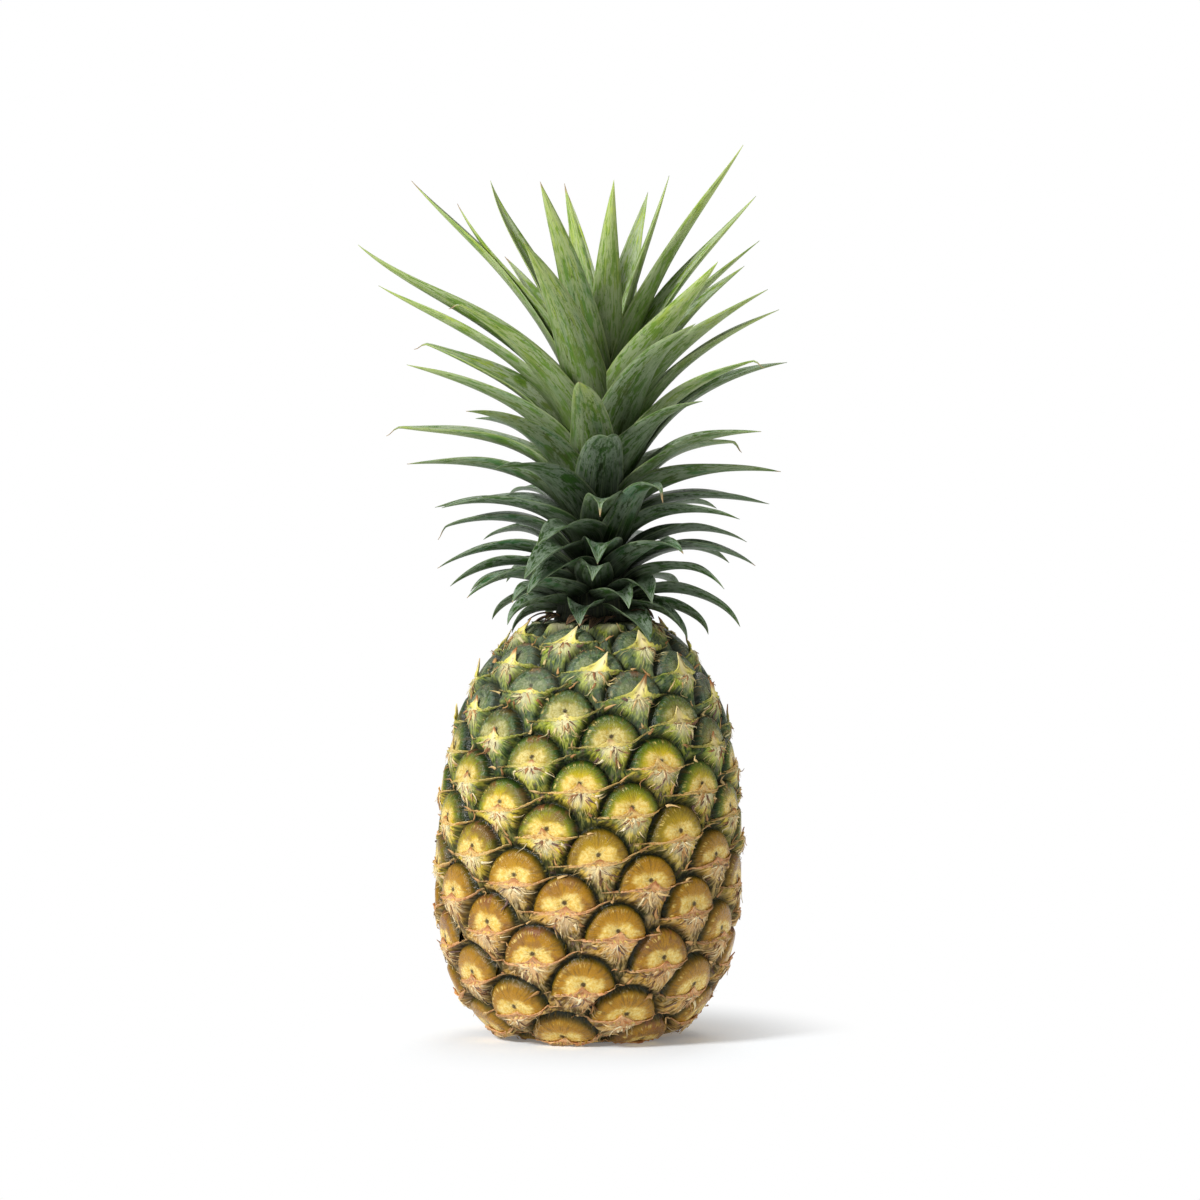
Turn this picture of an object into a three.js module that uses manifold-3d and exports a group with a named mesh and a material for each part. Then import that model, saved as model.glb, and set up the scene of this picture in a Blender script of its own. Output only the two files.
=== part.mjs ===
// A whole pineapple standing on its base, in millimetres, +Z up, seen from -Y.
// The origin is the middle of the cut stalk, on the surface that the fruit stands on.
// The fruit is one body whose eyes follow the real spiral: each eye sits a golden angle on from
// the last, so 8 spirals run one way round it and 13 the other. The crown goes on with the spiral.
import * as THREE from "three";
import { mergeVertices } from "three/addons/utils/BufferGeometryUtils.js";
import Module from "manifold-3d";

const wasm = await Module();
wasm.setup();

// Shape of the fruit under its eyes
const BELLY_RADIUS = 56.8;
const BELLY_HEIGHT = 68;
const TOP_HEIGHT = 165; // where the round outline would end if it went on to the axis
const BOTTOM_HEIGHT = -3; // likewise; the floor cuts it flat
const SHOULDER_POWER = 2.4;
const BASE_POWER = 2.6;
const LEAN = Math.tan(THREE.MathUtils.degToRad(1.3)); // towards +X

// Spiral of eyes, numbered upwards
const GOLDEN_ANGLE = 137.508;
const LEFT_STEP = 8; // the next eye up and to the left
const RIGHT_STEP = 13; // the next eye up and to the right
const EYE_TURN = 11.3; // degrees from the front to eye 0
const BELLY_EYE = 14.6; // eye number at the belly's height
const BELLY_EYE_AREA = 490; // square millimetres of skin for each eye
const EYE_AREA_SLOPE = -0.0036; // share by which that changes with each eye upwards
const EYE_TILT = 2; // eye numbers by which the rows sink on the right and climb on the left
const LOWEST_EYE = -31;
const HIGHEST_EYE = 88;
const LAST_CELLS = 4; // smaller cells past each of those, which close in on the ends
const SHOULDER_EYES = 4; // eyes either side of the last over which the cushions fade out
const BASE_EYES = 6; // likewise at the base
const CELL_STEPS = 5; // facets along each side of an eye's cell

// Ends of the fruit
const BASE_HOLLOW_RADIUS = 13.5;
const BASE_HOLLOW_DEPTH = 6;
const NECK_RADIUS = 13;
const CLOSING_EYES = 7; // eyes over which the skin closes in by about two thirds
const NECK_HEIGHT = 163.6;
const STALK_RADIUS = 11.5;
const STALK_TAPER = 0.8;
const ROUND_SIDES = 24;
const STEM_SIDES = 12;
const GAP = 0.3;

// An eye is a cushion that fills its cell, crossed by the edge of its bract.
const CUSHION_LIFT = 3;
const CUSHION_POWER = 3;
const BRACT_LIFT = 0.7;
const BRACT_EDGE_HEIGHT = 4;
const TIP_STEP = 2; // the bract's tip, in facets from the cell's foot along both sides
const TIP_LIFT = 1.2;
const TIP_RISE = 1.8;

// Crown
const LEAF_COUNT = 88;
const LOWEST_LEAF_STATIONS = 4;
const HIGHEST_LEAF_STATIONS = 5;
const CROWN_TURN = 38; // degrees from the front to the lowest leaf
const STEM_FOOT = NECK_HEIGHT + GAP;
const STEM_TOP = 232;
const STEM_FOOT_RADIUS = 16;
const STEM_TOP_RADIUS = 6;
const STEM_COLLAR = 4; // height over the lowest root up to which the stem is straight
const LOWEST_ROOT = 165.5;
const HIGHEST_ROOT = 224;
const ROOT_POWER = 1.4; // above 1, the roots crowd together low down
// How far out and how high the tips reach, evenly spaced from the lowest leaf to the innermost
const TIP_REACH = [36, 46, 54, 58, 62, 66, 70, 73, 70, 58, 14];
const TIP_HEIGHT = [158, 167, 178, 189, 203, 220, 243, 272, 303, 330, 334];
// Degrees above the horizon at the root and at the tip, and the widest place, spaced likewise
const ROOT_PITCH = [18, 27, 38, 50, 60, 67, 73, 78, 82, 86, 88];
const TIP_PITCH = [-74, -60, -46, -33, -22, -10, 3, 17, 33, 52, 80];
const LEAF_WIDTH = [17, 17, 17, 18, 19, 20.5, 22, 22, 21, 20, 16];
const ROOT_HANDLE = 0.47; // reach of the bend from each end, as a share of the leaf's span
const TIP_HANDLE = 0.3;
const ROOT_DEPTH = 0.65; // how deep in the stem a leaf starts, as a share of the stem's radius
const FOOT_WIDTH = 0.6; // share of the full width
const BROADEST_PLACE = 0.3; // share of the way along
const DRAWN_OUT_POWER = 1.8; // lower, and the leaf narrows sooner
const LEAF_THICKNESS = 1.7;
const LEAF_THINNING = 0.45; // share of that lost by the tip
const CHANNEL_DEPTH = 0.24; // share of the width
const LEAF_TWIST = 12; // degrees either way, at the tip
const REACH_PLAY = 0.06; // share by which a leaf reaches more or less than the rule says
const HEIGHT_PLAY = 3;

// Tips that the photo shows, as [across, height]: the sides first, from the bottom up
const RIGHT_TIPS = [
  [40, 157], [48.5, 158], [61, 161], [54, 177], [67, 185], [64, 194], [60, 204], [73, 209], [77, 222],
  [63, 233], [68, 238], [80, 265], [77, 286], [71, 293], [64, 304], [67, 330], [62, 350], [33, 338],
  [25, 333],
];
const LEFT_TIPS = [
  [-29, 158], [-30, 163], [-37, 163], [-28, 172], [-45, 175], [-46, 173], [-53, 177], [-58, 184], [-58, 199],
  [-56, 208], [-59, 208], [-70, 225], [-78, 240], [-70, 264], [-67, 274], [-81, 295], [-89, 311], [-68, 336],
  [-50, 327], [-37, 336],
];
const FRONT_TIPS = [
  [-2, 163], [17, 170], [26, 172], [-22, 176], [3, 181], [-23, 182], [5, 188], [38, 191], [-18, 195],
  [6, 210], [30, 215], [-34, 224], [-2, 257], [42, 279], [-52, 289], [51, 303], [-23, 310], [-8, 335],
];
const SIDE_SHARE = 0.55; // how far to the side a leaf's root points, from 0 to 1, to be seen there
const FRONT_SHARE = 0.5; // likewise to the front
const FARTHEST_CLAIM = 60;
const HEIGHT_WEIGHT = 1.5; // how much more a miss in height counts than one sideways
const CROWN_SEED = 10;

const radians = THREE.MathUtils.degToRad;
const { clamp, lerp, smoothstep } = THREE.MathUtils;

// Numbers from 0 to 1 in a fixed order
function seededDraws(seed) {
  let state = seed;
  return () => {
    state = (state * 1664525 + 1013904223) % 4294967296;
    return state / 4294967296;
  };
}

// A value read off evenly spaced ones, share running from 0 to 1
function along(values, share) {
  const place = clamp(share, 0, 1) * (values.length - 1);
  const index = Math.min(Math.floor(place), values.length - 2);
  return lerp(values[index], values[index + 1], place - index);
}

// Height of the outline at a radius, above or below the belly
function heightAt(radius, above) {
  const [end, power] = above ? [TOP_HEIGHT, SHOULDER_POWER] : [BOTTOM_HEIGHT, BASE_POWER];
  const inwards = Math.max(1 - (radius / BELLY_RADIUS) ** power, 0) ** (1 / power);
  return BELLY_HEIGHT + (end - BELLY_HEIGHT) * inwards;
}

// Walks the outline from the belly to one end and notes which eye number each radius has.
function eyePlaces(direction) {
  const steps = 900; // short enough that the walk's error is far below a millimetre
  const places = [];
  let before = { radius: BELLY_RADIUS, height: BELLY_HEIGHT };
  let eye = BELLY_EYE;
  for (let i = 0; i < steps; i++) {
    const radius = BELLY_RADIUS * Math.cos(((i / steps) * Math.PI) / 2) ** 0.8;
    const height = heightAt(radius, direction > 0);
    const length = Math.hypot(radius - before.radius, height - before.height);
    const area = BELLY_EYE_AREA * (1 + EYE_AREA_SLOPE * (eye - BELLY_EYE));
    eye += (direction * Math.PI * (radius + before.radius) * length) / area;
    places.push({ eye, radius });
    before = { radius, height };
  }
  return places;
}
const PLACES = [...eyePlaces(-1).reverse(), ...eyePlaces(1).slice(1)];

function radiusOf(eye) {
  let low = 0;
  let high = PLACES.length - 1;
  while (high - low > 1) {
    const middle = (low + high) >> 1;
    if (PLACES[middle].eye > eye) high = middle;
    else low = middle;
  }
  const share = clamp((eye - PLACES[low].eye) / (PLACES[high].eye - PLACES[low].eye), 0, 1);
  return lerp(PLACES[low].radius, PLACES[high].radius, share);
}

// The skin at an eye number. Past the last eyes it closes in on the stalk or the crown.
function skin(eye) {
  const last = clamp(eye, LOWEST_EYE, HIGHEST_EYE);
  const inner = eye < BELLY_EYE ? BASE_HOLLOW_RADIUS - 2 : NECK_RADIUS;
  const radius = inner + (radiusOf(last) - inner) * Math.exp(-Math.abs(eye - last) / CLOSING_EYES);
  return { radius, height: heightAt(radius, eye > BELLY_EYE) };
}

function eyeAngle(eye) {
  return radians(EYE_TURN - eye * GOLDEN_ANGLE);
}

// Lift of the surface inside a cell, where left and right run from 0 to 1 and both edges are grooves
function relief(left, right) {
  const swell = (share) => 1 - Math.abs(2 * share - 1) ** CUSHION_POWER;
  const cushion = swell(left) * swell(right);
  const stepsUp = (left - TIP_STEP / CELL_STEPS) * LEFT_STEP + (right - TIP_STEP / CELL_STEPS) * RIGHT_STEP;
  const up = (stepsUp * BELLY_EYE_AREA) / (2 * Math.PI * BELLY_RADIUS);
  const atTip = Math.round(left * CELL_STEPS) === TIP_STEP && Math.round(right * CELL_STEPS) === TIP_STEP;
  const bract = BRACT_LIFT * Math.exp(-((up / BRACT_EDGE_HEIGHT) ** 2));
  return { out: cushion * (CUSHION_LIFT + bract) + (atTip ? TIP_LIFT : 0), up: atTip ? TIP_RISE : 0 };
}

// A point of the finished surface, in the cell whose middle is the eye
function fruitPoint(eye, left, right) {
  const level = eye + LEFT_STEP * (left - 0.5) + RIGHT_STEP * (right - 0.5);
  const leftTurn = LEFT_STEP * GOLDEN_ANGLE - 3 * 360;
  const rightTurn = RIGHT_STEP * GOLDEN_ANGLE - 5 * 360;
  const angle = eyeAngle(eye) - radians((left - 0.5) * leftTurn + (right - 0.5) * rightTurn);
  const place = level + EYE_TILT * Math.sin(angle);
  const { radius, height } = skin(place);
  const ahead = skin(place + 0.5);
  const behind = skin(place - 0.5);
  const slope = Math.atan2(behind.radius - ahead.radius, ahead.height - behind.height);
  const full = smoothstep(place, LOWEST_EYE - BASE_EYES, LOWEST_EYE + BASE_EYES)
    * smoothstep(-place, -HIGHEST_EYE - SHOULDER_EYES, -HIGHEST_EYE + SHOULDER_EYES);
  const lift = relief(left, right);
  const out = radius + full * (lift.out * Math.cos(slope) - lift.up * Math.sin(slope));
  const up = height + full * (lift.out * Math.sin(slope) + lift.up * Math.cos(slope));
  return new THREE.Vector3(out * Math.sin(angle), -out * Math.cos(angle), clamp(up, 0, NECK_HEIGHT));
}

// The fruit's skin as a net of cells, closed by a fan at each end
function fruitGeometry() {
  const turns = LEFT_STEP + RIGHT_STEP;
  const first = LOWEST_EYE - LAST_CELLS;
  const last = HIGHEST_EYE + LAST_CELLS;
  const points = [];
  const faces = [];
  const numberOf = new Map();
  // A corner of the net, in eye number and steps left and right, written in one way only
  const corner = (eye, left, right) => {
    const wholeLeft = Math.floor(left / CELL_STEPS);
    const wholeRight = Math.floor(right / CELL_STEPS);
    const cell = eye + wholeLeft * LEFT_STEP + wholeRight * RIGHT_STEP;
    const steps = [left - wholeLeft * CELL_STEPS, right - wholeRight * CELL_STEPS];
    const key = [cell, ...steps].join();
    if (!numberOf.has(key)) {
      numberOf.set(key, points.length);
      points.push(fruitPoint(cell, steps[0] / CELL_STEPS, steps[1] / CELL_STEPS));
    }
    return numberOf.get(key);
  };
  for (let eye = first; eye <= last; eye++)
    for (let left = 0; left < CELL_STEPS; left++)
      for (let right = 0; right < CELL_STEPS; right++) {
        const foot = corner(eye, left, right);
        const toLeft = corner(eye, left + 1, right);
        const toRight = corner(eye, left, right + 1);
        const above = corner(eye, left + 1, right + 1);
        faces.push([foot, toRight, toLeft], [toRight, above, toLeft]);
      }
  const bottom = points.push(new THREE.Vector3(0, 0, 0)) - 1;
  const top = points.push(new THREE.Vector3(0, 0, NECK_HEIGHT)) - 1;
  // The open rim at either end climbs an eye left, then drops an eye right, until it closes.
  for (const [start, pole] of [[first, bottom], [last + 1, top]])
    for (let i = 0, eye = start; i < turns; i++) {
      const climbs = eye - start < RIGHT_STEP;
      const next = climbs ? eye + LEFT_STEP : eye - RIGHT_STEP;
      for (let step = 0; step < CELL_STEPS; step++) {
        const rim = climbs
          ? [corner(eye, step, 0), corner(eye, step + 1, 0)]
          : [corner(eye, 0, -step), corner(eye, 0, -step - 1)];
        faces.push(pole === bottom ? [rim[0], rim[1], pole] : [rim[1], rim[0], pole]);
      }
      eye = next;
    }
  return new THREE.BufferGeometry().setFromPoints(points).setIndex(faces.flat());
}

// One leaf as rings of four points: an edge, the trough, the other edge and the keel
function leafGeometry(leaf) {
  const curve = new THREE.CubicBezierCurve3(leaf.root, leaf.rootHandle, leaf.tipHandle, leaf.tip);
  const stations = Math.round(lerp(LOWEST_LEAF_STATIONS, HIGHEST_LEAF_STATIONS, Math.min(2 * leaf.age, 1)));
  const points = [];
  const faces = [];
  for (let i = 0; i < stations; i++) {
    const share = i / stations;
    const centre = curve.getPoint(share);
    const tangent = curve.getTangent(share);
    const side = new THREE.Vector3(Math.cos(leaf.angle), Math.sin(leaf.angle), 0);
    side.addScaledVector(tangent, -side.dot(tangent)).normalize();
    side.applyAxisAngle(tangent, leaf.twist * share);
    const inward = new THREE.Vector3().crossVectors(tangent, side);
    const half = (leaf.width / 2) * leafShape(share);
    const thick = (LEAF_THICKNESS / 2) * (1 - LEAF_THINNING * share);
    const edge = 2 * half * CHANNEL_DEPTH;
    const ring = [[-half, edge], [0, thick], [half, edge], [0, -thick]];
    for (const [across, up] of ring)
      points.push(centre.clone().addScaledVector(side, across).addScaledVector(inward, up));
  }
  const tip = points.push(leaf.tip) - 1;
  for (let i = 0; i < stations; i++)
    for (let j = 0; j < 4; j++) {
      const [a, b] = [4 * i + j, 4 * i + ((j + 1) % 4)];
      if (i === stations - 1) faces.push([a, tip, b]);
      else faces.push([a, a + 4, b], [b, a + 4, b + 4]);
    }
  faces.push([0, 1, 3], [1, 2, 3]);
  return new THREE.BufferGeometry().setFromPoints(points).setIndex(faces.flat());
}

// Share of the full width along a leaf: broad a little above the foot, then drawn out to the tip
function leafShape(share) {
  const foot = lerp(FOOT_WIDTH, 1, smoothstep(share, 0, BROADEST_PLACE));
  return foot * Math.max(1 - share ** DRAWN_OUT_POWER, 0);
}

function fromAxis(reach, angle, height) {
  return new THREE.Vector3(reach * Math.sin(angle), -reach * Math.cos(angle), height);
}

function crownLeaves() {
  const draw = seededDraws(CROWN_SEED);
  const leaves = [];
  for (let i = 0; i < LEAF_COUNT; i++) {
    const age = i / (LEAF_COUNT - 1);
    const angle = radians(CROWN_TURN - i * GOLDEN_ANGLE);
    const reach = along(TIP_REACH, age) * (1 + REACH_PLAY * (2 * draw() - 1));
    const height = along(TIP_HEIGHT, age) + HEIGHT_PLAY * (2 * draw() - 1);
    const twist = radians(LEAF_TWIST) * (2 * draw() - 1);
    leaves.push({ age, angle, twist, reach, tip: fromAxis(reach, angle, height), seen: false });
  }
  for (const [tips, fits] of [
    [RIGHT_TIPS, (leaf) => Math.sin(leaf.angle) > SIDE_SHARE],
    [LEFT_TIPS, (leaf) => Math.sin(leaf.angle) < -SIDE_SHARE],
    [FRONT_TIPS, (leaf) => Math.cos(leaf.angle) > FRONT_SHARE],
  ])
    for (const [across, height] of tips) {
      const candidates = leaves.filter((leaf) => !leaf.seen && fits(leaf));
      claimTip(candidates, across, height);
    }
  return leaves.map(withCurve);
}

// Gives a tip that the photo shows to the leaf that comes closest to it by rule.
function claimTip(candidates, across, height) {
  const upright = across - LEAN * height;
  const missBy = (leaf) => Math.hypot(leaf.tip.x - upright, HEIGHT_WEIGHT * (leaf.tip.z - height));
  const leaf = candidates.sort((one, other) => missBy(one) - missBy(other))[0];
  if (!leaf || missBy(leaf) > FARTHEST_CLAIM) return;
  const reach = Math.max(leaf.reach, Math.abs(upright));
  const depth = Math.sqrt(Math.max(reach ** 2 - upright ** 2, 0)) * Math.sign(Math.cos(leaf.angle));
  leaf.tip.set(upright, -depth, height);
  leaf.seen = true;
}

function withCurve(leaf) {
  const rootReach = lerp(STEM_FOOT_RADIUS, STEM_TOP_RADIUS, leaf.age) * (1 - ROOT_DEPTH);
  const rootHeight = lerp(LOWEST_ROOT, HIGHEST_ROOT, leaf.age ** ROOT_POWER);
  const root = fromAxis(rootReach, leaf.angle, rootHeight);
  const tipAngle = Math.atan2(leaf.tip.x, -leaf.tip.y);
  const [rootPitch, tipPitch] = [ROOT_PITCH, TIP_PITCH].map((pitches) => radians(along(pitches, leaf.age)));
  const span = root.distanceTo(leaf.tip);
  const towards = (pitch, angle) => fromAxis(Math.cos(pitch), angle, Math.sin(pitch));
  return {
    ...leaf,
    root,
    rootHandle: root.clone().addScaledVector(towards(rootPitch, leaf.angle), span * ROOT_HANDLE),
    tipHandle: leaf.tip.clone().addScaledVector(towards(tipPitch, tipAngle), -span * TIP_HANDLE),
    width: along(LEAF_WIDTH, leaf.age),
  };
}

function stemGeometry() {
  const profile = [
    [0, STEM_FOOT], [STEM_FOOT_RADIUS, STEM_FOOT], [STEM_FOOT_RADIUS, LOWEST_ROOT + STEM_COLLAR],
    [STEM_TOP_RADIUS, HIGHEST_ROOT], [0, STEM_TOP],
  ];
  return turned(profile, STEM_SIDES);
}

// A solid turned about the upright axis, from radii and heights going up
function turned(profile, sides) {
  const points = profile.map(([radius, height]) => new THREE.Vector2(radius, height));
  return new THREE.LatheGeometry(points, sides).rotateX(Math.PI / 2);
}

function stalkGeometry() {
  const top = BASE_HOLLOW_DEPTH - GAP;
  return turned([[0, 0], [STALK_RADIUS, 0], [STALK_RADIUS - STALK_TAPER, top], [0, top]], ROUND_SIDES);
}

function toSolid(geometry) {
  const bare = geometry.clone().deleteAttribute("normal").deleteAttribute("uv");
  const merged = mergeVertices(bare, 1e-4);
  return new wasm.Manifold(new wasm.Mesh({
    numProp: 3,
    vertProperties: merged.attributes.position.array,
    triVerts: new Uint32Array(merged.index.array),
  }));
}

function toGeometry(solid) {
  const mesh = solid.getMesh();
  return new THREE.BufferGeometry()
    .setAttribute("position", new THREE.BufferAttribute(mesh.vertProperties, 3))
    .setIndex(new THREE.BufferAttribute(mesh.triVerts, 1));
}

// Leans a piece about the floor, so that what is flat on the floor stays flat.
function leaning(geometry) {
  return geometry.applyMatrix4(new THREE.Matrix4().makeShear(0, 0, 0, 0, LEAN, 0));
}

function buildFruit() {
  const [radius, depth] = [BASE_HOLLOW_RADIUS, BASE_HOLLOW_DEPTH];
  const hollow = new THREE.CylinderGeometry(radius, radius, 2 * depth, ROUND_SIDES).rotateX(Math.PI / 2);
  return toGeometry(toSolid(fruitGeometry()).subtract(toSolid(hollow)));
}

function buildCrown() {
  const leaves = crownLeaves().map((leaf) => toSolid(leafGeometry(leaf)));
  const joined = wasm.Manifold.union([toSolid(stemGeometry()), ...leaves]);
  // The outer shell alone, so that pockets closed in among the leaves are filled
  const [shell] = joined.decompose().sort((one, other) => other.volume() - one.volume());
  return toGeometry(shell);
}

function piece(name, geometry, color, roughness) {
  const material = new THREE.MeshStandardMaterial({ color, roughness, metalness: 0, flatShading: true });
  const mesh = new THREE.Mesh(leaning(geometry), material);
  mesh.name = name;
  return mesh;
}

const pineapple = new THREE.Group();
pineapple.add(
  piece("fruit", buildFruit(), 0xa8862a, 0.5),
  piece("crown", buildCrown(), 0x4f7040, 0.55),
  piece("stalk_end", stalkGeometry(), 0xb39a6b, 0.85),
);

export default pineapple;
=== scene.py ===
import math

import bmesh
import bpy
import numpy as np
from mathutils import Matrix, Quaternion, Vector


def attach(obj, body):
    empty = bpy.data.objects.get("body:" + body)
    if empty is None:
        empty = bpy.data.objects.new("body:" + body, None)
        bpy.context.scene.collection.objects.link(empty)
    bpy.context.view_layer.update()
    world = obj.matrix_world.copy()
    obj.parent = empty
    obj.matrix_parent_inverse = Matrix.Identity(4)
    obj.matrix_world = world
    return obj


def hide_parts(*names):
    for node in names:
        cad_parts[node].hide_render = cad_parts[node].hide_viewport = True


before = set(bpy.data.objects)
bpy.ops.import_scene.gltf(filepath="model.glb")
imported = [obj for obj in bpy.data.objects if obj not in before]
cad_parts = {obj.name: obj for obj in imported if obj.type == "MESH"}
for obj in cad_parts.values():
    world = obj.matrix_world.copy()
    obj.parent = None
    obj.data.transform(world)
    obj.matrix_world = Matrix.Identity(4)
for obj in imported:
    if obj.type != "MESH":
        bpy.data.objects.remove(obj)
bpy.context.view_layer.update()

bl_info = {
    "name": "Whole Pineapple",
    "version": (1, 0, 0),
    "blender": (4, 5, 0),
    "location": "View3D > Sidebar > Pineapple",
    "description": "A whole pineapple: spiral rind with papery bracts, leafy crown and cut stalk",
    "category": "Object",
}

MM = 0.001

# Shape of the fruit and its spiral of eyes, as in the part's source, in millimetres
BELLY_RADIUS = 56.8
BELLY_HEIGHT = 68
TOP_HEIGHT = 165
BOTTOM_HEIGHT = -3
SHOULDER_POWER = 2.4
BASE_POWER = 2.6
LEAN = math.tan(math.radians(1.3))
GOLDEN_ANGLE = 137.508
LEFT_STEP = 8
RIGHT_STEP = 13
EYE_TURN = 11.3
BELLY_EYE = 14.6
BELLY_EYE_AREA = 490
EYE_AREA_SLOPE = -0.0036
EYE_TILT = 2
LOWEST_EYE = -31
HIGHEST_EYE = 88
LAST_CELLS = 16  # smaller cells past each of those, which close in on the ends
BASE_HOLLOW_RADIUS = 13.5
BASE_HOLLOW_DEPTH = 6
NECK_RADIUS = 13
NECK_HEIGHT = 163.6
CLOSING_EYES = 7
DOT_PLACE = 0.29  # the dark dot's height over the bract's edge, in dome heights
EYE_SPAN = 4.0  # width and height of the square around each eye that its UV map covers, in eye measures
SHADE_TURN = 0.2  # how far the side away from the sun lies beside the back, in radians

# Where each kind of piece starts, in eyes above the lowest one, because the base itself lies flat
BRACTS_FROM = 2
SCRAPS_FROM = 4
FLAKES_FROM = 5

# Thin pieces, in metres
FLAKE_THICKNESS = 0.00022
HAIR_THICKNESS = 0.00010
SCRAP_THICKNESS = 0.0003
NECK_SCRAP_THICKNESS = 0.0004
WELD_DISTANCE = 0.00002

# Crown, as in the part's source
LEAF_COUNT = 88
CROWN_TURN = 38
STEM_FOOT = NECK_HEIGHT + 0.3
STEM_TOP = 232
STEM_FOOT_RADIUS = 16
STEM_TOP_RADIUS = 6
LOWEST_ROOT = 165.5
HIGHEST_ROOT = 224
ROOT_POWER = 1.4
TIP_REACH = [36, 46, 54, 58, 62, 66, 70, 73, 70, 58, 14]
TIP_HEIGHT = [158, 167, 178, 189, 203, 220, 243, 272, 303, 330, 334]
ROOT_PITCH = [18, 27, 38, 50, 60, 67, 73, 78, 82, 86, 88]
TIP_PITCH = [-74, -60, -46, -33, -22, -10, 3, 17, 33, 52, 80]
LEAF_WIDTH = [17, 17, 17, 18, 19, 20.5, 22, 22, 21, 20, 16]
ROOT_HANDLE = 0.47
TIP_HANDLE = 0.3
ROOT_DEPTH = 0.65
FOOT_WIDTH = 0.6
BROADEST_PLACE = 0.3
DRAWN_OUT_POWER = 1.8
CHANNEL_DEPTH = 0.24
LEAF_TWIST = 12
REACH_PLAY = 0.06
HEIGHT_PLAY = 3
RIGHT_TIPS = [
    (40, 157), (48.5, 158), (61, 161), (54, 177), (67, 185), (64, 194), (60, 204), (73, 209), (77, 222),
    (63, 233), (68, 238), (80, 265), (77, 286), (71, 293), (64, 304), (67, 330), (62, 350), (33, 338), (25, 333),
]
LEFT_TIPS = [
    (-29, 158), (-30, 163), (-37, 163), (-28, 172), (-45, 175), (-46, 173), (-53, 177), (-58, 184), (-58, 199),
    (-56, 208), (-59, 208), (-70, 225), (-78, 240), (-70, 264), (-67, 274), (-81, 295), (-89, 311), (-68, 336),
    (-50, 327), (-37, 336),
]
FRONT_TIPS = [
    (-2, 163), (17, 170), (26, 172), (-22, 176), (3, 181), (-23, 182), (5, 188), (38, 191), (-18, 195),
    (6, 210), (30, 215), (-34, 224), (-2, 257), (42, 279), (-52, 289), (51, 303), (-23, 310), (-8, 335),
]
SIDE_SHARE = 0.55
FRONT_SHARE = 0.5
FARTHEST_CLAIM = 60
HEIGHT_WEIGHT = 1.5
CROWN_SEED = 10
LEAF_END = 0.9985  # where a blade ends on its curve, just short of its point
HOOK_DROP = 4.0
STEM_SIDES = 48
NECK_SCRAP_HEIGHT = 165.1
NECK_SCRAP_SEED = 57

# Stage, in metres
FLOOR_RADIUS = 30
LIGHTS_AIM = 0.14


# -------------------- shape rules


def seeded_draws(seed):
    """Numbers from 0 to 1 in a fixed order, the same as in the part's source."""
    state = seed

    def draw():
        nonlocal state
        state = (state * 1664525 + 1013904223) % 4294967296
        return state / 4294967296

    return draw


def along(values, share):
    place = min(max(share, 0), 1) * (len(values) - 1)
    index = min(int(place), len(values) - 2)
    return values[index] + (values[index + 1] - values[index]) * (place - index)


def height_at(radius, above):
    """Height of the outline at each radius, above or below the belly."""
    end = np.where(above, TOP_HEIGHT, BOTTOM_HEIGHT)
    power = np.where(above, SHOULDER_POWER, BASE_POWER)
    inwards = np.maximum(1 - (radius / BELLY_RADIUS) ** power, 0) ** (1 / power)
    return BELLY_HEIGHT + (end - BELLY_HEIGHT) * inwards


def eye_places(direction):
    steps = 900
    shares = np.arange(steps) / steps
    radii = BELLY_RADIUS * np.cos(shares * math.pi / 2) ** 0.8
    heights = height_at(radii, direction > 0)
    eyes = []
    before = (BELLY_RADIUS, BELLY_HEIGHT)
    eye = BELLY_EYE
    for radius, height in zip(radii, heights):
        length = math.hypot(radius - before[0], height - before[1])
        area = BELLY_EYE_AREA * (1 + EYE_AREA_SLOPE * (eye - BELLY_EYE))
        eye += direction * math.pi * (radius + before[0]) * length / area
        eyes.append(eye)
        before = (radius, height)
    return np.array(eyes), radii


class Skin:
    """The fruit's bare skin: radius, height, outward slope and way along the outline for each eye number."""

    def __init__(self):
        below_eyes, below_radii = eye_places(-1)
        above_eyes, above_radii = eye_places(1)
        eyes = np.concatenate([below_eyes[::-1], above_eyes[1:]])
        radii = np.concatenate([below_radii[::-1], above_radii[1:]])
        self.eyes = np.linspace(LOWEST_EYE - 30, HIGHEST_EYE + 30, 3600)
        last = np.clip(self.eyes, LOWEST_EYE, HIGHEST_EYE)
        inner = np.where(self.eyes < BELLY_EYE, BASE_HOLLOW_RADIUS - 2, NECK_RADIUS)
        closing = np.exp(-np.abs(self.eyes - last) / CLOSING_EYES)
        self.radii = inner + (np.interp(last, eyes, radii) - inner) * closing
        self.heights = height_at(self.radii, self.eyes > BELLY_EYE)
        lengths = np.hypot(np.diff(self.radii), np.diff(self.heights))
        self.ways = np.concatenate([[0], np.cumsum(lengths)])
        self.slopes = np.arctan2(-np.gradient(self.radii), np.gradient(self.heights))

    def way(self, eye):
        return np.interp(eye, self.eyes, self.ways)

    def at_way(self, way):
        return [np.interp(way, self.ways, values) for values in (self.radii, self.heights, self.slopes)]


skin = Skin()


def eye_angle(eye):
    return np.radians(EYE_TURN - eye * GOLDEN_ANGLE)


def eye_size(eye):
    """Size of an eye beside one at the belly."""
    return np.sqrt(np.maximum(1 + EYE_AREA_SLOPE * (eye - BELLY_EYE), 0.2))


def eye_age(eye):
    """0 at the lowest eye and 1 at the highest."""
    return (eye - LOWEST_EYE) / (HIGHEST_EYE - LOWEST_EYE)


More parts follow.
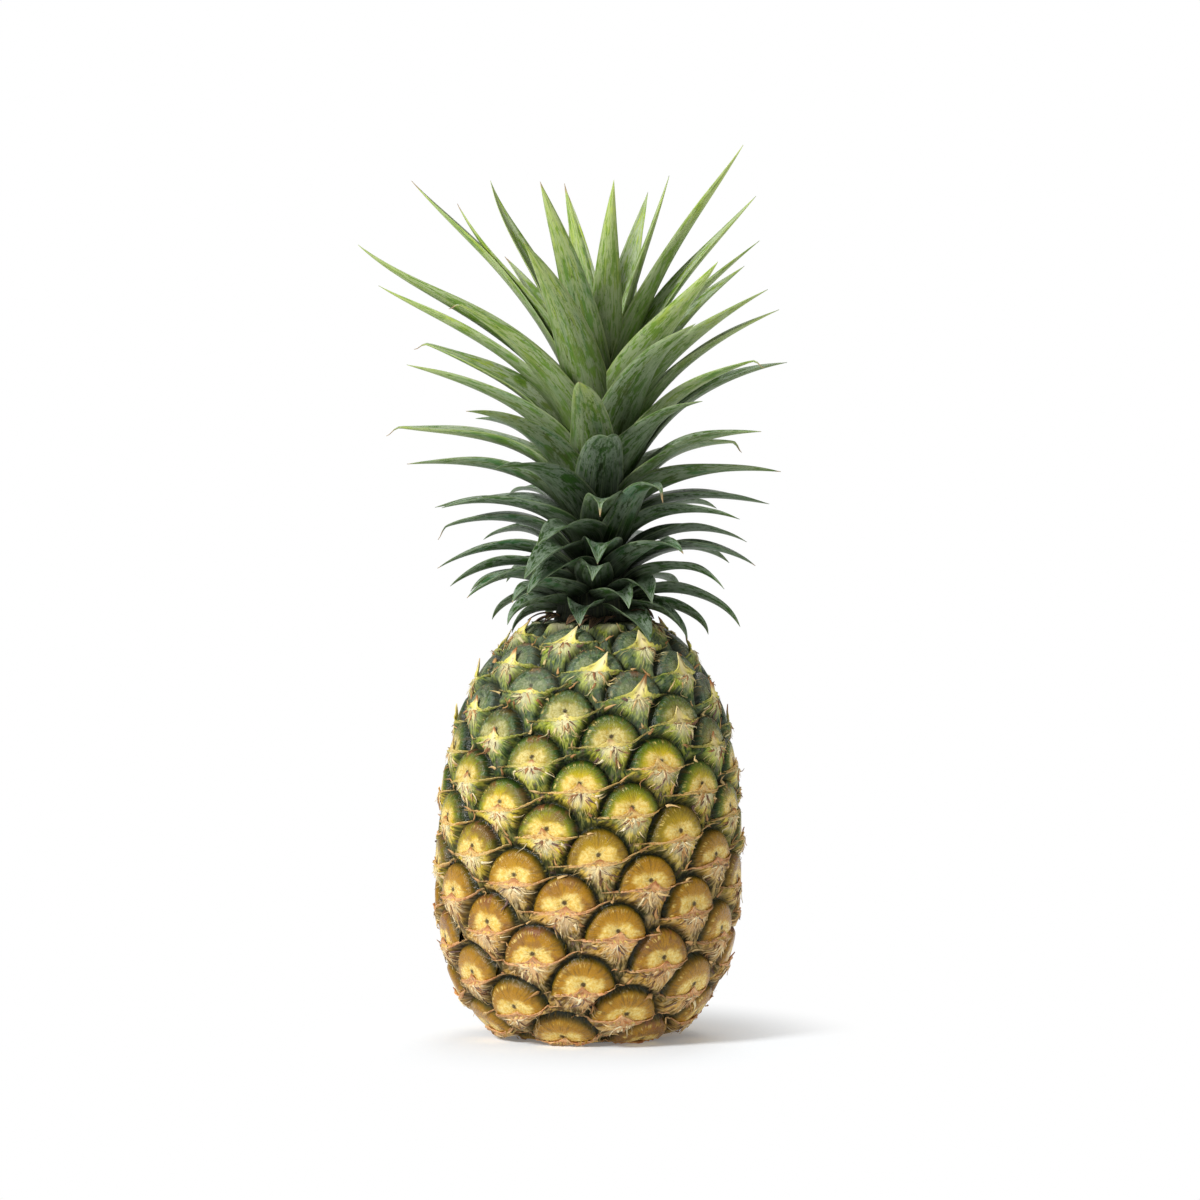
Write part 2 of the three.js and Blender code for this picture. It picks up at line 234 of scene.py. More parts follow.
class Salt:
    """What each of an eye's draws is for."""

    turn, width, height, plumpness, tone, reach, curl, edge, point, slant = range(1, 11)
    leaf, scrap, climb, point_width = range(12, 16)
    flakes, hairs, right_end, left_end = 20, 300, 500, 520


def eye_draw(eye, salt):
    """A number from 0 to 1 for an eye, different for each salt."""
    value = np.sin(eye * 12.9898 + salt * 78.233) * 43758.5453
    return value - np.floor(value)


def wrap(angle):
    return np.arctan2(np.sin(angle), np.cos(angle))


def smooth(values, low, high):
    share = np.clip((values - low) / (high - low), 0, 1)
    return share * share * (3 - 2 * share)


def skin_point(angle, way, lift):
    """Points lifted off the bare skin, in millimetres, before the fruit leans."""
    radius, height, slope = skin.at_way(way)
    out = radius + lift * np.cos(slope)
    up = height + lift * np.sin(slope)
    return np.stack([out * np.sin(angle), -out * np.cos(angle), up], axis=-1)


def lean_over(points):
    leaned = np.array(points, dtype=float)
    leaned[..., 0] += LEAN * leaned[..., 2]
    return leaned * MM


# -------------------- mesh helpers


def finish_piece(name, bm, materials, node=None):
    """Makes an object of the bmesh, which rides on the fruit's body, and stands for a CAD node if one is given."""
    mesh = bpy.data.meshes.new(name)
    bm.to_mesh(mesh)
    bm.free()
    mesh.polygons.foreach_set("use_smooth", [True] * len(mesh.polygons))
    piece = bpy.data.objects.new(name, mesh)
    bpy.context.scene.collection.objects.link(piece)
    for material in materials:
        mesh.materials.append(material)
    if node:
        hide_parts(node)
    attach(piece, "root")
    return piece


def corner_vertices(mesh):
    indices = np.empty(len(mesh.loops), dtype=np.int32)
    mesh.loops.foreach_get("vertex_index", indices)
    return indices


def set_corner_values(mesh, name, first, second):
    """Writes one UV pair for each face corner."""
    layer = mesh.uv_layers.new(name=name)
    pairs = np.stack([np.ravel(first), np.ravel(second)], -1)
    layer.data.foreach_set("uv", np.ascontiguousarray(pairs, dtype=np.float32).ravel())


def set_point_values(mesh, name, first, second):
    """Writes two numbers for each point, as one UV pair on all of its face corners."""
    corners = corner_vertices(mesh)
    set_corner_values(mesh, name, first[corners], second[corners])


def place_vertices(mesh, points):
    mesh.vertices.foreach_set("co", lean_over(points).astype(np.float32).ravel())


def grids(count, across, lengthways):
    """Flat grids as one mesh, to be given its shape, and for each of its points the place across and lengthways,
    from -0.5 to 0.5, and the number of its grid."""
    bm = bmesh.new()
    for index in range(count):
        bmesh.ops.create_grid(bm, x_segments=across, y_segments=lengthways, size=0.5,
                              matrix=Matrix.Translation((0, 0, index)))
    mesh = bpy.data.meshes.new("grids")
    bm.to_mesh(mesh)
    bm.free()
    places = np.empty(len(mesh.vertices) * 3)
    mesh.vertices.foreach_get("co", places)
    x, y, number = places.reshape(-1, 3).T
    return mesh, x, y, np.round(number).astype(int)


def take_bmesh(mesh):
    bm = bmesh.new()
    bm.from_mesh(mesh)
    bpy.data.meshes.remove(mesh)
    return bm


def add_thickness(piece, thickness, second_material=0):
    shell = piece.modifiers.new("thickness", "SOLIDIFY")
    shell.thickness = thickness
    shell.offset = 0
    shell.material_offset = second_material
    return shell


def thin_out(piece, shell, shares):
    """Makes a shell thinner where the share of a point is small."""
    group = piece.vertex_groups.new(name="thickness")
    for index, share in enumerate(shares):
        group.add([index], float(share), "REPLACE")
    shell.vertex_group = group.name


# -------------------- node helpers


class Nodes:
    """Short ways to add and link shader nodes."""

    def __init__(self, tree):
        self.tree = tree

    def add(self, kind, **settings):
        node = self.tree.nodes.new(kind)
        for name, value in settings.items():
            setattr(node, name, value)
        return node

    def plug(self, socket, value):
        if isinstance(value, bpy.types.NodeSocket):
            self.tree.links.new(value, socket)
        elif value is not None:
            socket.default_value = value

    def math(self, operation, first, second=None, third=None):
        node = self.add("ShaderNodeMath", operation=operation)
        for socket, value in zip(node.inputs, (first, second, third)):
            self.plug(socket, value)
        return node.outputs[0]

    def sum(self, *terms):
        total = terms[0]
        for term in terms[1:]:
            total = self.math("ADD", total, term)
        return total

    def times(self, *factors):
        product = factors[0]
        for factor in factors[1:]:
            product = self.math("MULTIPLY", product, factor)
        return product

    def minus(self, first, second):
        return self.math("SUBTRACT", first, second)

    def rest(self, share):
        return self.minus(1.0, share)

    def size(self, value):
        return self.math("ABSOLUTE", value)

    def angle(self, x, y):
        return self.math("ARCTAN2", x, y)

    def swing(self, value, width):
        """A value from 0 to 1 turned into one that runs half the width to either side of 0."""
        return self.math("MULTIPLY_ADD", value, width, -width / 2)

    def length(self, x, y):
        return self.math("SQRT", self.sum(self.times(x, x), self.times(y, y)))

    def span(self, value, low, high, out_low=0.0, out_high=1.0):
        node = self.add("ShaderNodeMapRange", interpolation_type="SMOOTHSTEP")
        for name, setting in (("Value", value), ("From Min", low), ("From Max", high),
                              ("To Min", out_low), ("To Max", out_high)):
            self.plug(node.inputs[name], setting)
        return node.outputs["Result"]

    def fall(self, value, low, high):
        """1 up to the low value, and 0 from the high one."""
        return self.span(value, low, high, 1.0, 0.0)

    def mix(self, factor, first, second):
        node = self.add("ShaderNodeMix", data_type="RGBA")
        self.plug(node.inputs["Factor"], factor)
        for index, color in ((6, first), (7, second)):
            self.plug(node.inputs[index], color if isinstance(color, bpy.types.NodeSocket) else (*color, 1))
        return node.outputs[2]

    def by_age(self, ripe, low_ends, top_begins, low, middle, top):
        """The colours of the low, middle and top eyes, which run into one another over two spans of ripeness."""
        color = self.mix(self.span(ripe, *low_ends), low, middle)
        return self.mix(self.span(ripe, *top_begins), color, top)

    def value_mix(self, factor, first, second):
        node = self.add("ShaderNodeMix", data_type="FLOAT")
        for index, value in ((0, factor), (2, first), (3, second)):
            self.plug(node.inputs[index], value)
        return node.outputs[0]

    def ramp(self, factor, stops):
        node = self.add("ShaderNodeValToRGB")
        elements = node.color_ramp.elements
        while len(elements) < len(stops):
            elements.new(0.5)
        for element, (position, color) in zip(elements, stops):
            element.position = position
            element.color = (*color, 1)
        self.plug(node.inputs["Fac"], factor)
        return node.outputs["Color"]

    def noise(self, vector, scale, detail=3.0, roughness=0.55):
        node = self.add("ShaderNodeTexNoise", noise_dimensions="3D")
        self.plug(node.inputs["Vector"], vector)
        node.inputs["Scale"].default_value = scale
        node.inputs["Detail"].default_value = detail
        node.inputs["Roughness"].default_value = roughness
        return node.outputs["Fac"]

    def vector(self, x, y, z=0.0):
        node = self.add("ShaderNodeCombineXYZ")
        for socket, value in zip(node.inputs, (x, y, z)):
            self.plug(socket, value)
        return node.outputs[0]

    def split(self, vector):
        node = self.add("ShaderNodeSeparateXYZ")
        self.plug(node.inputs[0], vector)
        return node.outputs

    def corner_pair(self, name):
        """The two numbers that a piece carries in a UV map."""
        node = self.add("ShaderNodeUVMap", uv_map=name)
        return self.split(node.outputs[0])[:2]

    def object_place(self):
        return self.add("ShaderNodeTexCoord").outputs["Object"]

    def group(self, tree, **values):
        node = self.add("ShaderNodeGroup", node_tree=tree)
        for name, value in values.items():
            self.plug(node.inputs[name.replace("_", " ")], value)
        return node.outputs

    def bump(self, height, strength, distance):
        node = self.add("ShaderNodeBump")
        node.inputs["Strength"].default_value = strength
        node.inputs["Distance"].default_value = distance
        self.plug(node.inputs["Height"], height)
        return node.outputs["Normal"]


def new_group(name, inputs, outputs):
    """A shader node group with number sockets, and its input and output sockets."""
    tree = bpy.data.node_groups.new(name, "ShaderNodeTree")
    for label, default in inputs:
        socket = tree.interface.new_socket(label, in_out="INPUT", socket_type="NodeSocketFloat")
        socket.default_value = default
    for label in outputs:
        tree.interface.new_socket(label, in_out="OUTPUT", socket_type="NodeSocketFloat")
    return tree, tree.nodes.new("NodeGroupInput").outputs, tree.nodes.new("NodeGroupOutput").inputs


def fibre_group():
    """Fine fibres that run lengthways: a mask of pale strands and a height."""
    tree, given, result = new_group(
        "Fibres", [("Across", 0), ("Lengthways", 0), ("Seed", 0), ("Fineness", 10), ("Break Up", 1)],
        ["Strands", "Height"])
    n = Nodes(tree)
    across = n.times(given["Across"], given["Fineness"])
    lengthways = n.times(given["Lengthways"], given["Break Up"])
    seed = n.times(given["Seed"], 37.0)
    coarse = n.noise(n.vector(across, lengthways, seed), 1.0, 2.0)
    fine = n.noise(n.vector(n.times(across, 2.7), lengthways, n.sum(seed, 9.0)), 1.0, 3.0)
    both = n.sum(n.times(coarse, 0.6), n.times(fine, 0.4))
    n.plug(result["Strands"], n.span(both, 0.46, 0.60))
    n.plug(result["Height"], both)
    return tree


def bloom_group():
    """The waxy grey bloom of the plant: a cloudy mask, rubbed off in patches."""
    tree, given, result = new_group(
        "Waxy Bloom", [("X", 0), ("Y", 0), ("Z", 0), ("Size", 5), ("Cover", 0.5)], ["Bloom"])
    n = Nodes(tree)
    scaled = n.add("ShaderNodeVectorMath", operation="SCALE")
    n.plug(scaled.inputs[0], n.vector(given["X"], given["Y"], given["Z"]))
    n.plug(scaled.inputs["Scale"], given["Size"])
    cloud = n.noise(scaled.outputs[0], 1.0, 4.0, 0.65)
    low = n.minus(0.72, n.times(given["Cover"], 0.4))
    n.plug(result["Bloom"], n.span(cloud, low, n.sum(low, 0.09)))
    return tree


def new_material(name):
    material = bpy.data.materials.new(name)
    material.use_nodes = True
    n = Nodes(material.node_tree)
    return material, n, material.node_tree.nodes["Principled BSDF"].inputs


# -------------------- materials


def dome_color(n, x, y, seed, ripe, rays, cloud, speckle):
    """An eye's disc: cream heart around a dark dot, ochre ring and green rim, greener on the upper eyes."""
    heart_y = n.times(n.minus(y, DOT_PLACE), 1.12)
    ray = n.angle(x, heart_y)
    heart = n.length(n.times(x, 0.92), heart_y)
    rim = n.sum(n.length(x, y), n.swing(cloud, 0.10), n.swing(rays["Height"], 0.06))
    low = n.ramp(rim, [(0.0, (0.72, 0.40, 0.075)), (0.42, (0.66, 0.35, 0.03)), (0.56, (0.50, 0.245, 0.012)),
                       (0.74, (0.40, 0.19, 0.006)), (0.88, (0.30, 0.15, 0.005)), (0.945, (0.14, 0.09, 0.004)),
                       (0.99, (0.03, 0.033, 0.003))])
    middle = n.ramp(rim, [(0.0, (0.78, 0.58, 0.07)), (0.36, (0.74, 0.52, 0.03)), (0.52, (0.62, 0.46, 0.008)),
                          (0.66, (0.36, 0.32, 0.006)), (0.78, (0.13, 0.17, 0.006)), (0.88, (0.035, 0.075, 0.005)),
                          (0.97, (0.008, 0.022, 0.003))])
    top = n.ramp(rim, [(0.0, (0.33, 0.36, 0.18)), (0.28, (0.20, 0.25, 0.11)), (0.42, (0.06, 0.105, 0.04)),
                       (0.54, (0.030, 0.070, 0.024)), (0.62, (0.10, 0.17, 0.045)), (0.70, (0.028, 0.065, 0.022)),
                       (0.80, (0.045, 0.095, 0.030)), (0.88, (0.010, 0.034, 0.011)), (0.96, (0.003, 0.011, 0.004))])
    color = n.by_age(ripe, (0.36, 0.60), (0.62, 0.84), low, middle, top)
    # Painted highlight: grey speckled glints on the upper eyes' discs, inside the rim
    painted_glints = n.times(n.span(speckle, 0.56, 0.66), n.span(ripe, 0.55, 0.85), n.fall(rim, 0.80, 0.92))
    color = n.mix(n.times(painted_glints, 0.55), color, (0.50, 0.55, 0.42))
    # The ring carries fine dark rays, and a few eyes are stained red at the top.
    darker = n.times(n.fall(rays["Height"], 0.40, 0.49), n.span(rim, 0.35, 0.7))
    color = n.mix(n.times(darker, 0.55), color, (0.12, 0.07, 0.012))
    stain = n.times(n.span(y, 0.62, 0.82), n.fall(n.size(x), 0.15, 0.5), n.span(seed, 0.6, 0.8))
    color = n.mix(n.times(stain, n.span(cloud, 0.45, 0.6), 0.6), color, (0.24, 0.055, 0.02))
    bruise = n.times(n.span(cloud, 0.46, 0.60), n.span(seed, 0.55, 0.75), n.span(rim, 0.30, 0.55),
                     n.span(ripe, 0.5, 0.8, 0.5, 0.1))
    color = n.mix(bruise, color, (0.20, 0.085, 0.035))
    # Heart, with a lobe to either side and reaching down to the bract's point
    heart_out = n.length(n.times(x, 0.86), n.times(n.minus(y, 0.20), 1.3))
    lobes = n.times(n.math("COSINE", n.times(ray, 2.0)), 0.08)
    heart_edge = n.sum(heart_out, lobes, n.swing(cloud, 0.55), n.swing(rays["Height"], 0.42))
    heart_mask = n.fall(heart_edge, 0.28, 0.50)
    heart_color = n.mix(n.span(speckle, 0.35, 0.65), (0.80, 0.50, 0.07), (0.98, 0.81, 0.30))
    heart_green = n.mix(n.span(speckle, 0.35, 0.65), (0.20, 0.25, 0.07), (0.50, 0.52, 0.26))
    heart_color = n.mix(n.span(ripe, 0.62, 0.86), heart_color, heart_green)
    color = n.mix(n.times(heart_mask, n.span(ripe, 0.7, 0.95, 0.9, 0.45)), color, heart_color)
    # Pale ticks inside the rim, where the light catches the ends of the rays
    band = n.times(n.span(rim, 0.76, 0.82), n.fall(rim, 0.84, 0.90))
    fine = n.noise(n.vector(n.times(ray, 16.0), n.times(rim, 3.0), n.times(seed, 50.0)), 1.0, 2.0)
    ticks = n.times(band, n.span(fine, 0.54, 0.60), n.span(cloud, 0.40, 0.56), n.span(x, -0.3, 0.5, 0.8, 0.1))
    color = n.mix(n.times(ticks, n.span(ripe, 0.6, 0.9, 0.9, 0.4)), color, (0.88, 0.66, 0.18))
    # Dark dot and the cracks that run out from it
    cracks = n.times(n.fall(rays["Height"], 0.37, 0.43), n.fall(heart, 0.05, 0.30))
    color = n.mix(n.times(cracks, 0.8), color, (0.10, 0.055, 0.03))
    dot = n.fall(n.sum(heart, n.swing(speckle, 0.10)), 0.035, 0.10)
    return n.mix(n.times(dot, 0.9), color, (0.045, 0.03, 0.02))


def fan_color(n, x, line, seed_far, ripe, down, cloud, speckle):
    """The fan under a bract: pale down on yellow, with torn brown and violet flecks, greener on the upper eyes."""
    drop = n.times(line, -1.0)
    reach = n.length(x, line)
    side = n.span(n.size(x), 0.28, 0.95)
    tone = n.span(cloud, 0.40, 0.58)
    low = n.mix(tone, (0.20, 0.10, 0.010), (0.74, 0.40, 0.05))
    middle = n.mix(tone, (0.16, 0.17, 0.008), (0.86, 0.64, 0.025))
    top = n.mix(tone, (0.035, 0.10, 0.008), (0.42, 0.50, 0.020))
    color = n.by_age(ripe, (0.36, 0.56), (0.60, 0.80), low, middle, top)
    # Towards its sides and its low end the fan goes dark green: partly the skin's own green, partly painted shade in
    # the grooves beside the domes
    green = n.mix(n.span(ripe, 0.4, 0.85), (0.035, 0.040, 0.006), (0.006, 0.036, 0.004))
    side_green_and_shade = n.math("MAXIMUM", n.times(side, n.span(ripe, 0.3, 0.6, 0.60, 0.95)), n.span(drop, 0.22, 0.70))
    color = n.mix(n.times(side_green_and_shade, n.span(down["Height"], 0.42, 0.58, 1.0, 0.55)), color, green)
    grey = n.times(n.span(speckle, 0.42, 0.58), n.span(ripe, 0.30, 0.60, 0.7, 0.2))
    pale = n.mix(grey, (0.97, 0.79, 0.36), (0.60, 0.47, 0.42))
    pale = n.mix(n.span(ripe, 0.50, 0.85), pale, (0.78, 0.80, 0.26))
    strength = n.span(reach, 0.10, 0.80, 0.95, n.span(ripe, 0.3, 0.6, 0.30, 0.10))
    color = n.mix(n.times(down["Strands"], strength), color, pale)
    dark = n.times(n.fall(down["Height"], 0.38, 0.47), n.span(reach, 0.12, 0.4, 0.0, 0.92))
    color = n.mix(dark, color, n.mix(n.span(ripe, 0.4, 0.8), (0.085, 0.04, 0.01), (0.02, 0.05, 0.006)))
    torn = n.span(n.noise(n.vector(n.times(x, 1.5), line, seed_far), 3.4, 4.0, 0.7), 0.53, 0.60)
    flecks = n.times(torn, n.span(down["Height"], 0.38, 0.53, 1.0, 0.25), n.span(ripe, 0.6, 0.95, 0.85, 0.45))
    fleck_color = n.mix(n.span(speckle, 0.45, 0.55), (0.10, 0.04, 0.015), (0.22, 0.14, 0.13))
    color = n.mix(flecks, color, fleck_color)
    # Star of pale down round the bract's point: partly the down's own cream, partly a painted highlight there
    star = n.sum(reach, n.swing(down["Height"], 0.9))
    down_and_highlight_glow = n.times(n.fall(star, 0.06, 0.52), 0.90)
    down_and_highlight_color = n.mix(n.span(ripe, 0.25, 0.55), (0.90, 0.56, 0.27), (1.0, 0.91, 0.56))
    return n.mix(down_and_highlight_glow, color, down_and_highlight_color)


def rind_material(settings, fibres, bloom):
    """Each eye is painted from its own middle, in the eye's own measures."""
    material, n, surface = new_material("rind")
    eye_u, eye_v = n.corner_pair("eye")
    line_u, green_shift = n.corner_pair("bract_line")
    age, seed = n.corner_pair("kind")
    hollow = n.add("ShaderNodeAttribute", attribute_name="hollow").outputs["Fac"]
    x = n.swing(eye_u, EYE_SPAN)
    y = n.swing(eye_v, EYE_SPAN)
    line = n.swing(line_u, EYE_SPAN)
    seed_far = n.times(seed, 40.0)
    ripe = n.sum(age, n.swing(seed, 0.10), green_shift)
    speckle = n.noise(n.vector(x, y, seed_far), 11.0, 4.0, 0.75)
    cloud = n.noise(n.vector(x, y, seed_far), 2.6, 3.0)
    heart_y = n.minus(y, DOT_PLACE)
    rays = n.group(fibres, Across=n.angle(x, heart_y), Lengthways=n.length(x, heart_y), Seed=seed,
                   Fineness=8.0, Break_Up=2.2)
    fan_ray = n.angle(x, n.minus(0.16, line))
    down = n.group(fibres, Across=fan_ray, Lengthways=n.length(x, line), Seed=seed, Fineness=9.5, Break_Up=4.2)
    dome = dome_color(n, x, y, seed, ripe, rays, cloud, speckle)
    fan = fan_color(n, x, line, seed_far, ripe, down, cloud, speckle)
    above = n.span(line, -0.02, 0.02)
    color = n.mix(above, fan, dome)
    dust = n.group(bloom, X=x, Y=y, Z=seed_far, Size=3.4, Cover=n.span(ripe, 0.5, 0.95, 0.1, 0.85))
    color = n.mix(n.times(dust["Bloom"], n.span(ripe, 0.60, 0.95, 0.0, 0.22)), color, (0.30, 0.34, 0.26))
    # Painted shade deep in the grooves between the eyes and at the fans' low ends, laid by the groove mask
    color = n.mix(n.times(hollow, 0.94), color, settings.groove_shade_color)
    # Under the fruit, round the stalk, the eyes are withered to a brown scar; near the floor its dark brown also
    # stands in for the contact shadow.
    place = n.object_place()
    across, back, height = n.split(place)
    bark = n.noise(place, 420.0, 5.0, 0.7)
    scar_edge = n.sum(n.length(across, back), n.swing(n.noise(place, 110.0, 2.0), 0.010))
    scar_and_contact_shade = n.times(n.fall(scar_edge, 0.0245, 0.0300), n.fall(height, 0.004, 0.012))
    color = n.mix(scar_and_contact_shade, color, n.mix(n.span(bark, 0.36, 0.62), (0.10, 0.052, 0.02), (0.34, 0.22, 0.10)))
    n.plug(surface["Base Color"], color)
    n.plug(surface["Roughness"], n.value_mix(above, 0.70, n.span(speckle, 0.35, 0.7, 0.22, 0.36)))
    surface["Specular IOR Level"].default_value = 0.32
    height = n.sum(n.times(n.value_mix(above, down["Height"], rays["Height"]), n.value_mix(above, 1.8, 0.8)),
                   n.times(speckle, 0.5))
    n.plug(surface["Normal"], n.bump(height, 0.75, 0.0009))
    return material


def bract_material(fibres):
    """Papery bract: pink or tan at its edge, green at its wings on the upper eyes, cream on the point."""
    material, n, surface = new_material("papery bract")
    u, v = n.corner_pair("blade")
    age, seed = n.corner_pair("kind")
    across = n.swing(u, 2.0)
    wing = n.size(across)
    strands = n.group(fibres, Across=across, Lengthways=v, Seed=seed, Fineness=24.0, Break_Up=2.0)
    tone = n.noise(n.vector(n.times(across, 2.5), v, n.times(seed, 40.0)), 3.0, 3.0)
    ripe = n.sum(age, n.swing(seed, 0.14))
    low = n.mix(n.span(tone, 0.35, 0.65), (0.52, 0.19, 0.06), (0.84, 0.46, 0.20))
    middle = n.mix(n.span(tone, 0.35, 0.65), (0.50, 0.22, 0.03), (0.92, 0.68, 0.24))
    top = n.ramp(wing, [(0.0, (1.0, 0.86, 0.46)), (0.14, (0.80, 0.72, 0.14)), (0.5, (0.26, 0.32, 0.02)),
                        (1.0, (0.05, 0.11, 0.008))])
    color = n.by_age(ripe, (0.34, 0.54), (0.60, 0.80), low, middle, top)
    color = n.mix(n.times(n.span(wing, 0.55, 1.0), n.span(ripe, 0.1, 0.5, 0.5, 0.8)), color, (0.16, 0.10, 0.012))
    color = n.mix(n.times(strands["Strands"], 0.40), color, (0.92, 0.74, 0.34))
    color = n.mix(n.times(n.span(tone, 0.54, 0.66), 0.7), color, (0.16, 0.07, 0.035))
    point = n.times(n.fall(wing, 0.03, 0.12), n.span(v, 0.6, 0.95), n.span(seed, 0.2, 0.6))
    color = n.mix(point, color, (0.42, 0.15, 0.04))
    n.plug(surface["Base Color"], color)
    surface["Roughness"].default_value = 0.62
    n.plug(surface["Normal"], n.bump(strands["Height"], 0.6, 0.0004))
    return material


def flake_material(fibres):
    """Torn skin and down on the fans: cream, tan, violet-brown, each flake with its own tone."""
    material, n, surface = new_material("torn flakes")
    u, v = n.corner_pair("blade")
    age, tone = n.corner_pair("kind")
    strands = n.group(fibres, Across=u, Lengthways=v, Seed=tone, Fineness=5.0, Break_Up=1.5)
    color = n.ramp(tone, [(0.0, (0.92, 0.80, 0.50)), (0.30, (0.82, 0.60, 0.26)), (0.48, (0.62, 0.34, 0.12)),
                          (0.66, (0.34, 0.15, 0.05)), (0.85, (0.15, 0.07, 0.03)), (1.0, (0.20, 0.12, 0.10))])
    green = n.times(n.span(age, 0.62, 0.9), n.span(tone, 0.2, 0.5, 0.5, 0.0))
    color = n.mix(green, color, (0.50, 0.52, 0.22))
    color = n.mix(n.times(n.span(v, 0.5, 1.0), 0.45), color, (0.20, 0.09, 0.04))
    n.plug(surface["Base Color"], color)
    surface["Roughness"].default_value = 0.75
    n.plug(surface["Normal"], n.bump(strands["Height"], 0.5, 0.0003))
    return material


def leaf_material(name, fibres, bloom, underside):
    """Waxy olive blade with fine long lines and rubbed patches. Bloom makes it grey, and a few tips are dry."""
    material, n, surface = new_material(name)
    u, v = n.corner_pair("leaf")
    age, seed = n.corner_pair("kind")
    seed_far = n.times(seed, 60.0)
    lines = n.group(fibres, Across=u, Lengthways=v, Seed=seed, Fineness=22.0, Break_Up=2.0)
    cloud = n.noise(n.vector(n.times(u, 2.0), n.times(v, 3.0), seed_far), 1.6, 3.0)
    # Both ramps darken towards the root at v = 0, which is painted shade deep in the crown; towards the tip they run
    # to the blade's own lighter, yellower green
    old = n.ramp(v, [(0.0, (0.003, 0.006, 0.002)), (0.25, (0.010, 0.018, 0.006)), (0.55, (0.026, 0.046, 0.016)),
                     (0.85, (0.07, 0.115, 0.036)), (1.0, (0.15, 0.19, 0.05))])
    young = n.ramp(v, [(0.0, (0.012, 0.02, 0.006)), (0.22, (0.055, 0.085, 0.022)), (0.5, (0.19, 0.27, 0.055)),
                       (0.78, (0.40, 0.51, 0.08)), (1.0, (0.60, 0.72, 0.09))])
    youth = n.span(n.sum(age, n.swing(seed, 0.25)), 0.48, 0.90)
    color = n.mix(youth, old, young)
    pale = n.mix(youth, (0.27, 0.35, 0.25), (0.40, 0.47, 0.30))
    patches = n.group(bloom, X=n.times(u, 0.8), Y=n.times(v, 3.2), Z=seed_far, Size=2.2, Cover=0.86)
    scratches = n.group(bloom, X=n.times(u, 5.0), Y=n.times(v, 9.0), Z=seed_far, Size=1.6, Cover=0.78)
    waxed = n.times(patches["Bloom"], scratches["Bloom"])
    # The upper side takes much more of the pale bloom than the underside: the bloom is the leaf's own, and the
    # difference is painted light, with the upper faces lit and the undersides in shade
    strength = n.span(v, 0.12, 0.55, 0.03, 0.50 if underside else 0.92)
    color = n.mix(n.times(waxed, strength), color, pale)
    inside = n.fall(n.size(u), 0.93, 0.99)
    rubbed = n.times(n.rest(waxed), n.span(v, 0.15, 0.5), n.span(cloud, 0.40, 0.50))
    color = n.mix(n.times(rubbed, 0.8), color, n.mix(youth, (0.028, 0.095, 0.009), (0.125, 0.25, 0.018)))
    streaks = n.noise(n.vector(n.times(u, 8.0), n.times(v, 17.0), n.sum(seed_far, 7.0)), 1.0, 4.0, 0.75)
    streaked = n.times(n.span(streaks, 0.55, 0.60), n.span(v, 0.10, 0.35), n.span(v, 0.70, 0.95, 1.0, 0.3), inside)
    color = n.mix(n.times(streaked, 0.65), color, n.mix(youth, (0.014, 0.05, 0.006), (0.085, 0.19, 0.014)))
    blue = n.times(n.span(cloud, 0.52, 0.62), n.span(seed, 0.45, 0.75), n.span(v, 0.25, 0.55))
    color = n.mix(n.times(blue, 0.25), color, (0.03, 0.17, 0.095))
    broad = n.span(v, 0.55, 0.88, 1.0, 0.15)
    color = n.mix(n.times(n.span(lines["Height"], 0.52, 0.62), broad, 0.25), color, (0.26, 0.33, 0.17))
    darker = n.times(n.fall(lines["Height"], 0.38, 0.47), broad, 0.30)
    color = n.mix(darker, color, (0.02, 0.04, 0.01))
    fleck_noise = n.noise(n.vector(n.times(u, 4.0), n.times(v, 16.0), seed_far), 2.2, 3.0, 0.7)
    flecks = n.times(n.span(fleck_noise, 0.62, 0.67), n.span(v, 0.2, 0.4), inside)
    color = n.mix(n.times(flecks, 0.6), color, (0.018, 0.022, 0.01))
    margin = n.times(n.rest(inside), n.span(v, 0.1, 0.4))
    color = n.mix(n.times(margin, 0.45), color, n.mix(youth, (0.20, 0.26, 0.12), (0.42, 0.50, 0.20)))
    dry_from = n.span(seed, 0.35, 1.0, 1.01, 0.95)
    dry = n.span(n.sum(v, n.swing(cloud, 0.04)), dry_from, n.sum(dry_from, 0.025))
    color = n.mix(dry, color, n.mix(cloud, (0.22, 0.13, 0.05), (0.55, 0.42, 0.22)))
    n.plug(surface["Base Color"], color)
    n.plug(surface["Roughness"], n.value_mix(waxed, 0.36, 0.52))
    surface["Specular IOR Level"].default_value = 0.3
    surface["Subsurface Weight"].default_value = 0.06
    surface["Subsurface Radius"].default_value = (0.0006, 0.0012, 0.0003)
    n.plug(surface["Normal"], n.bump(n.times(lines["Height"], broad), 0.45, 0.0005))
    return material


def stem_material(fibres):
    material, n, surface = new_material("crown stem")
    x, y, z = n.split(n.object_place())
    strands = n.group(fibres, Across=n.angle(x, y), Lengthways=z, Seed=0.3, Fineness=14.0, Break_Up=60.0)
    n.plug(surface["Base Color"], n.mix(strands["Strands"], (0.008, 0.012, 0.004), (0.035, 0.042, 0.015)))
    surface["Roughness"].default_value = 0.85
    n.plug(surface["Normal"], n.bump(strands["Height"], 0.6, 0.0008))
    return material


def scrap_material(fibres):
    material, n, surface = new_material("dry scrap")
    u, v = n.corner_pair("leaf")
    _, seed = n.corner_pair("kind")
    strands = n.group(fibres, Across=u, Lengthways=v, Seed=seed, Fineness=9.0, Break_Up=3.0)
    color = n.mix(strands["Strands"], (0.03, 0.014, 0.008), (0.22, 0.12, 0.05))
    n.plug(surface["Base Color"], color)
    surface["Roughness"].default_value = 0.8
    n.plug(surface["Normal"], n.bump(strands["Height"], 0.6, 0.0005))
    return material


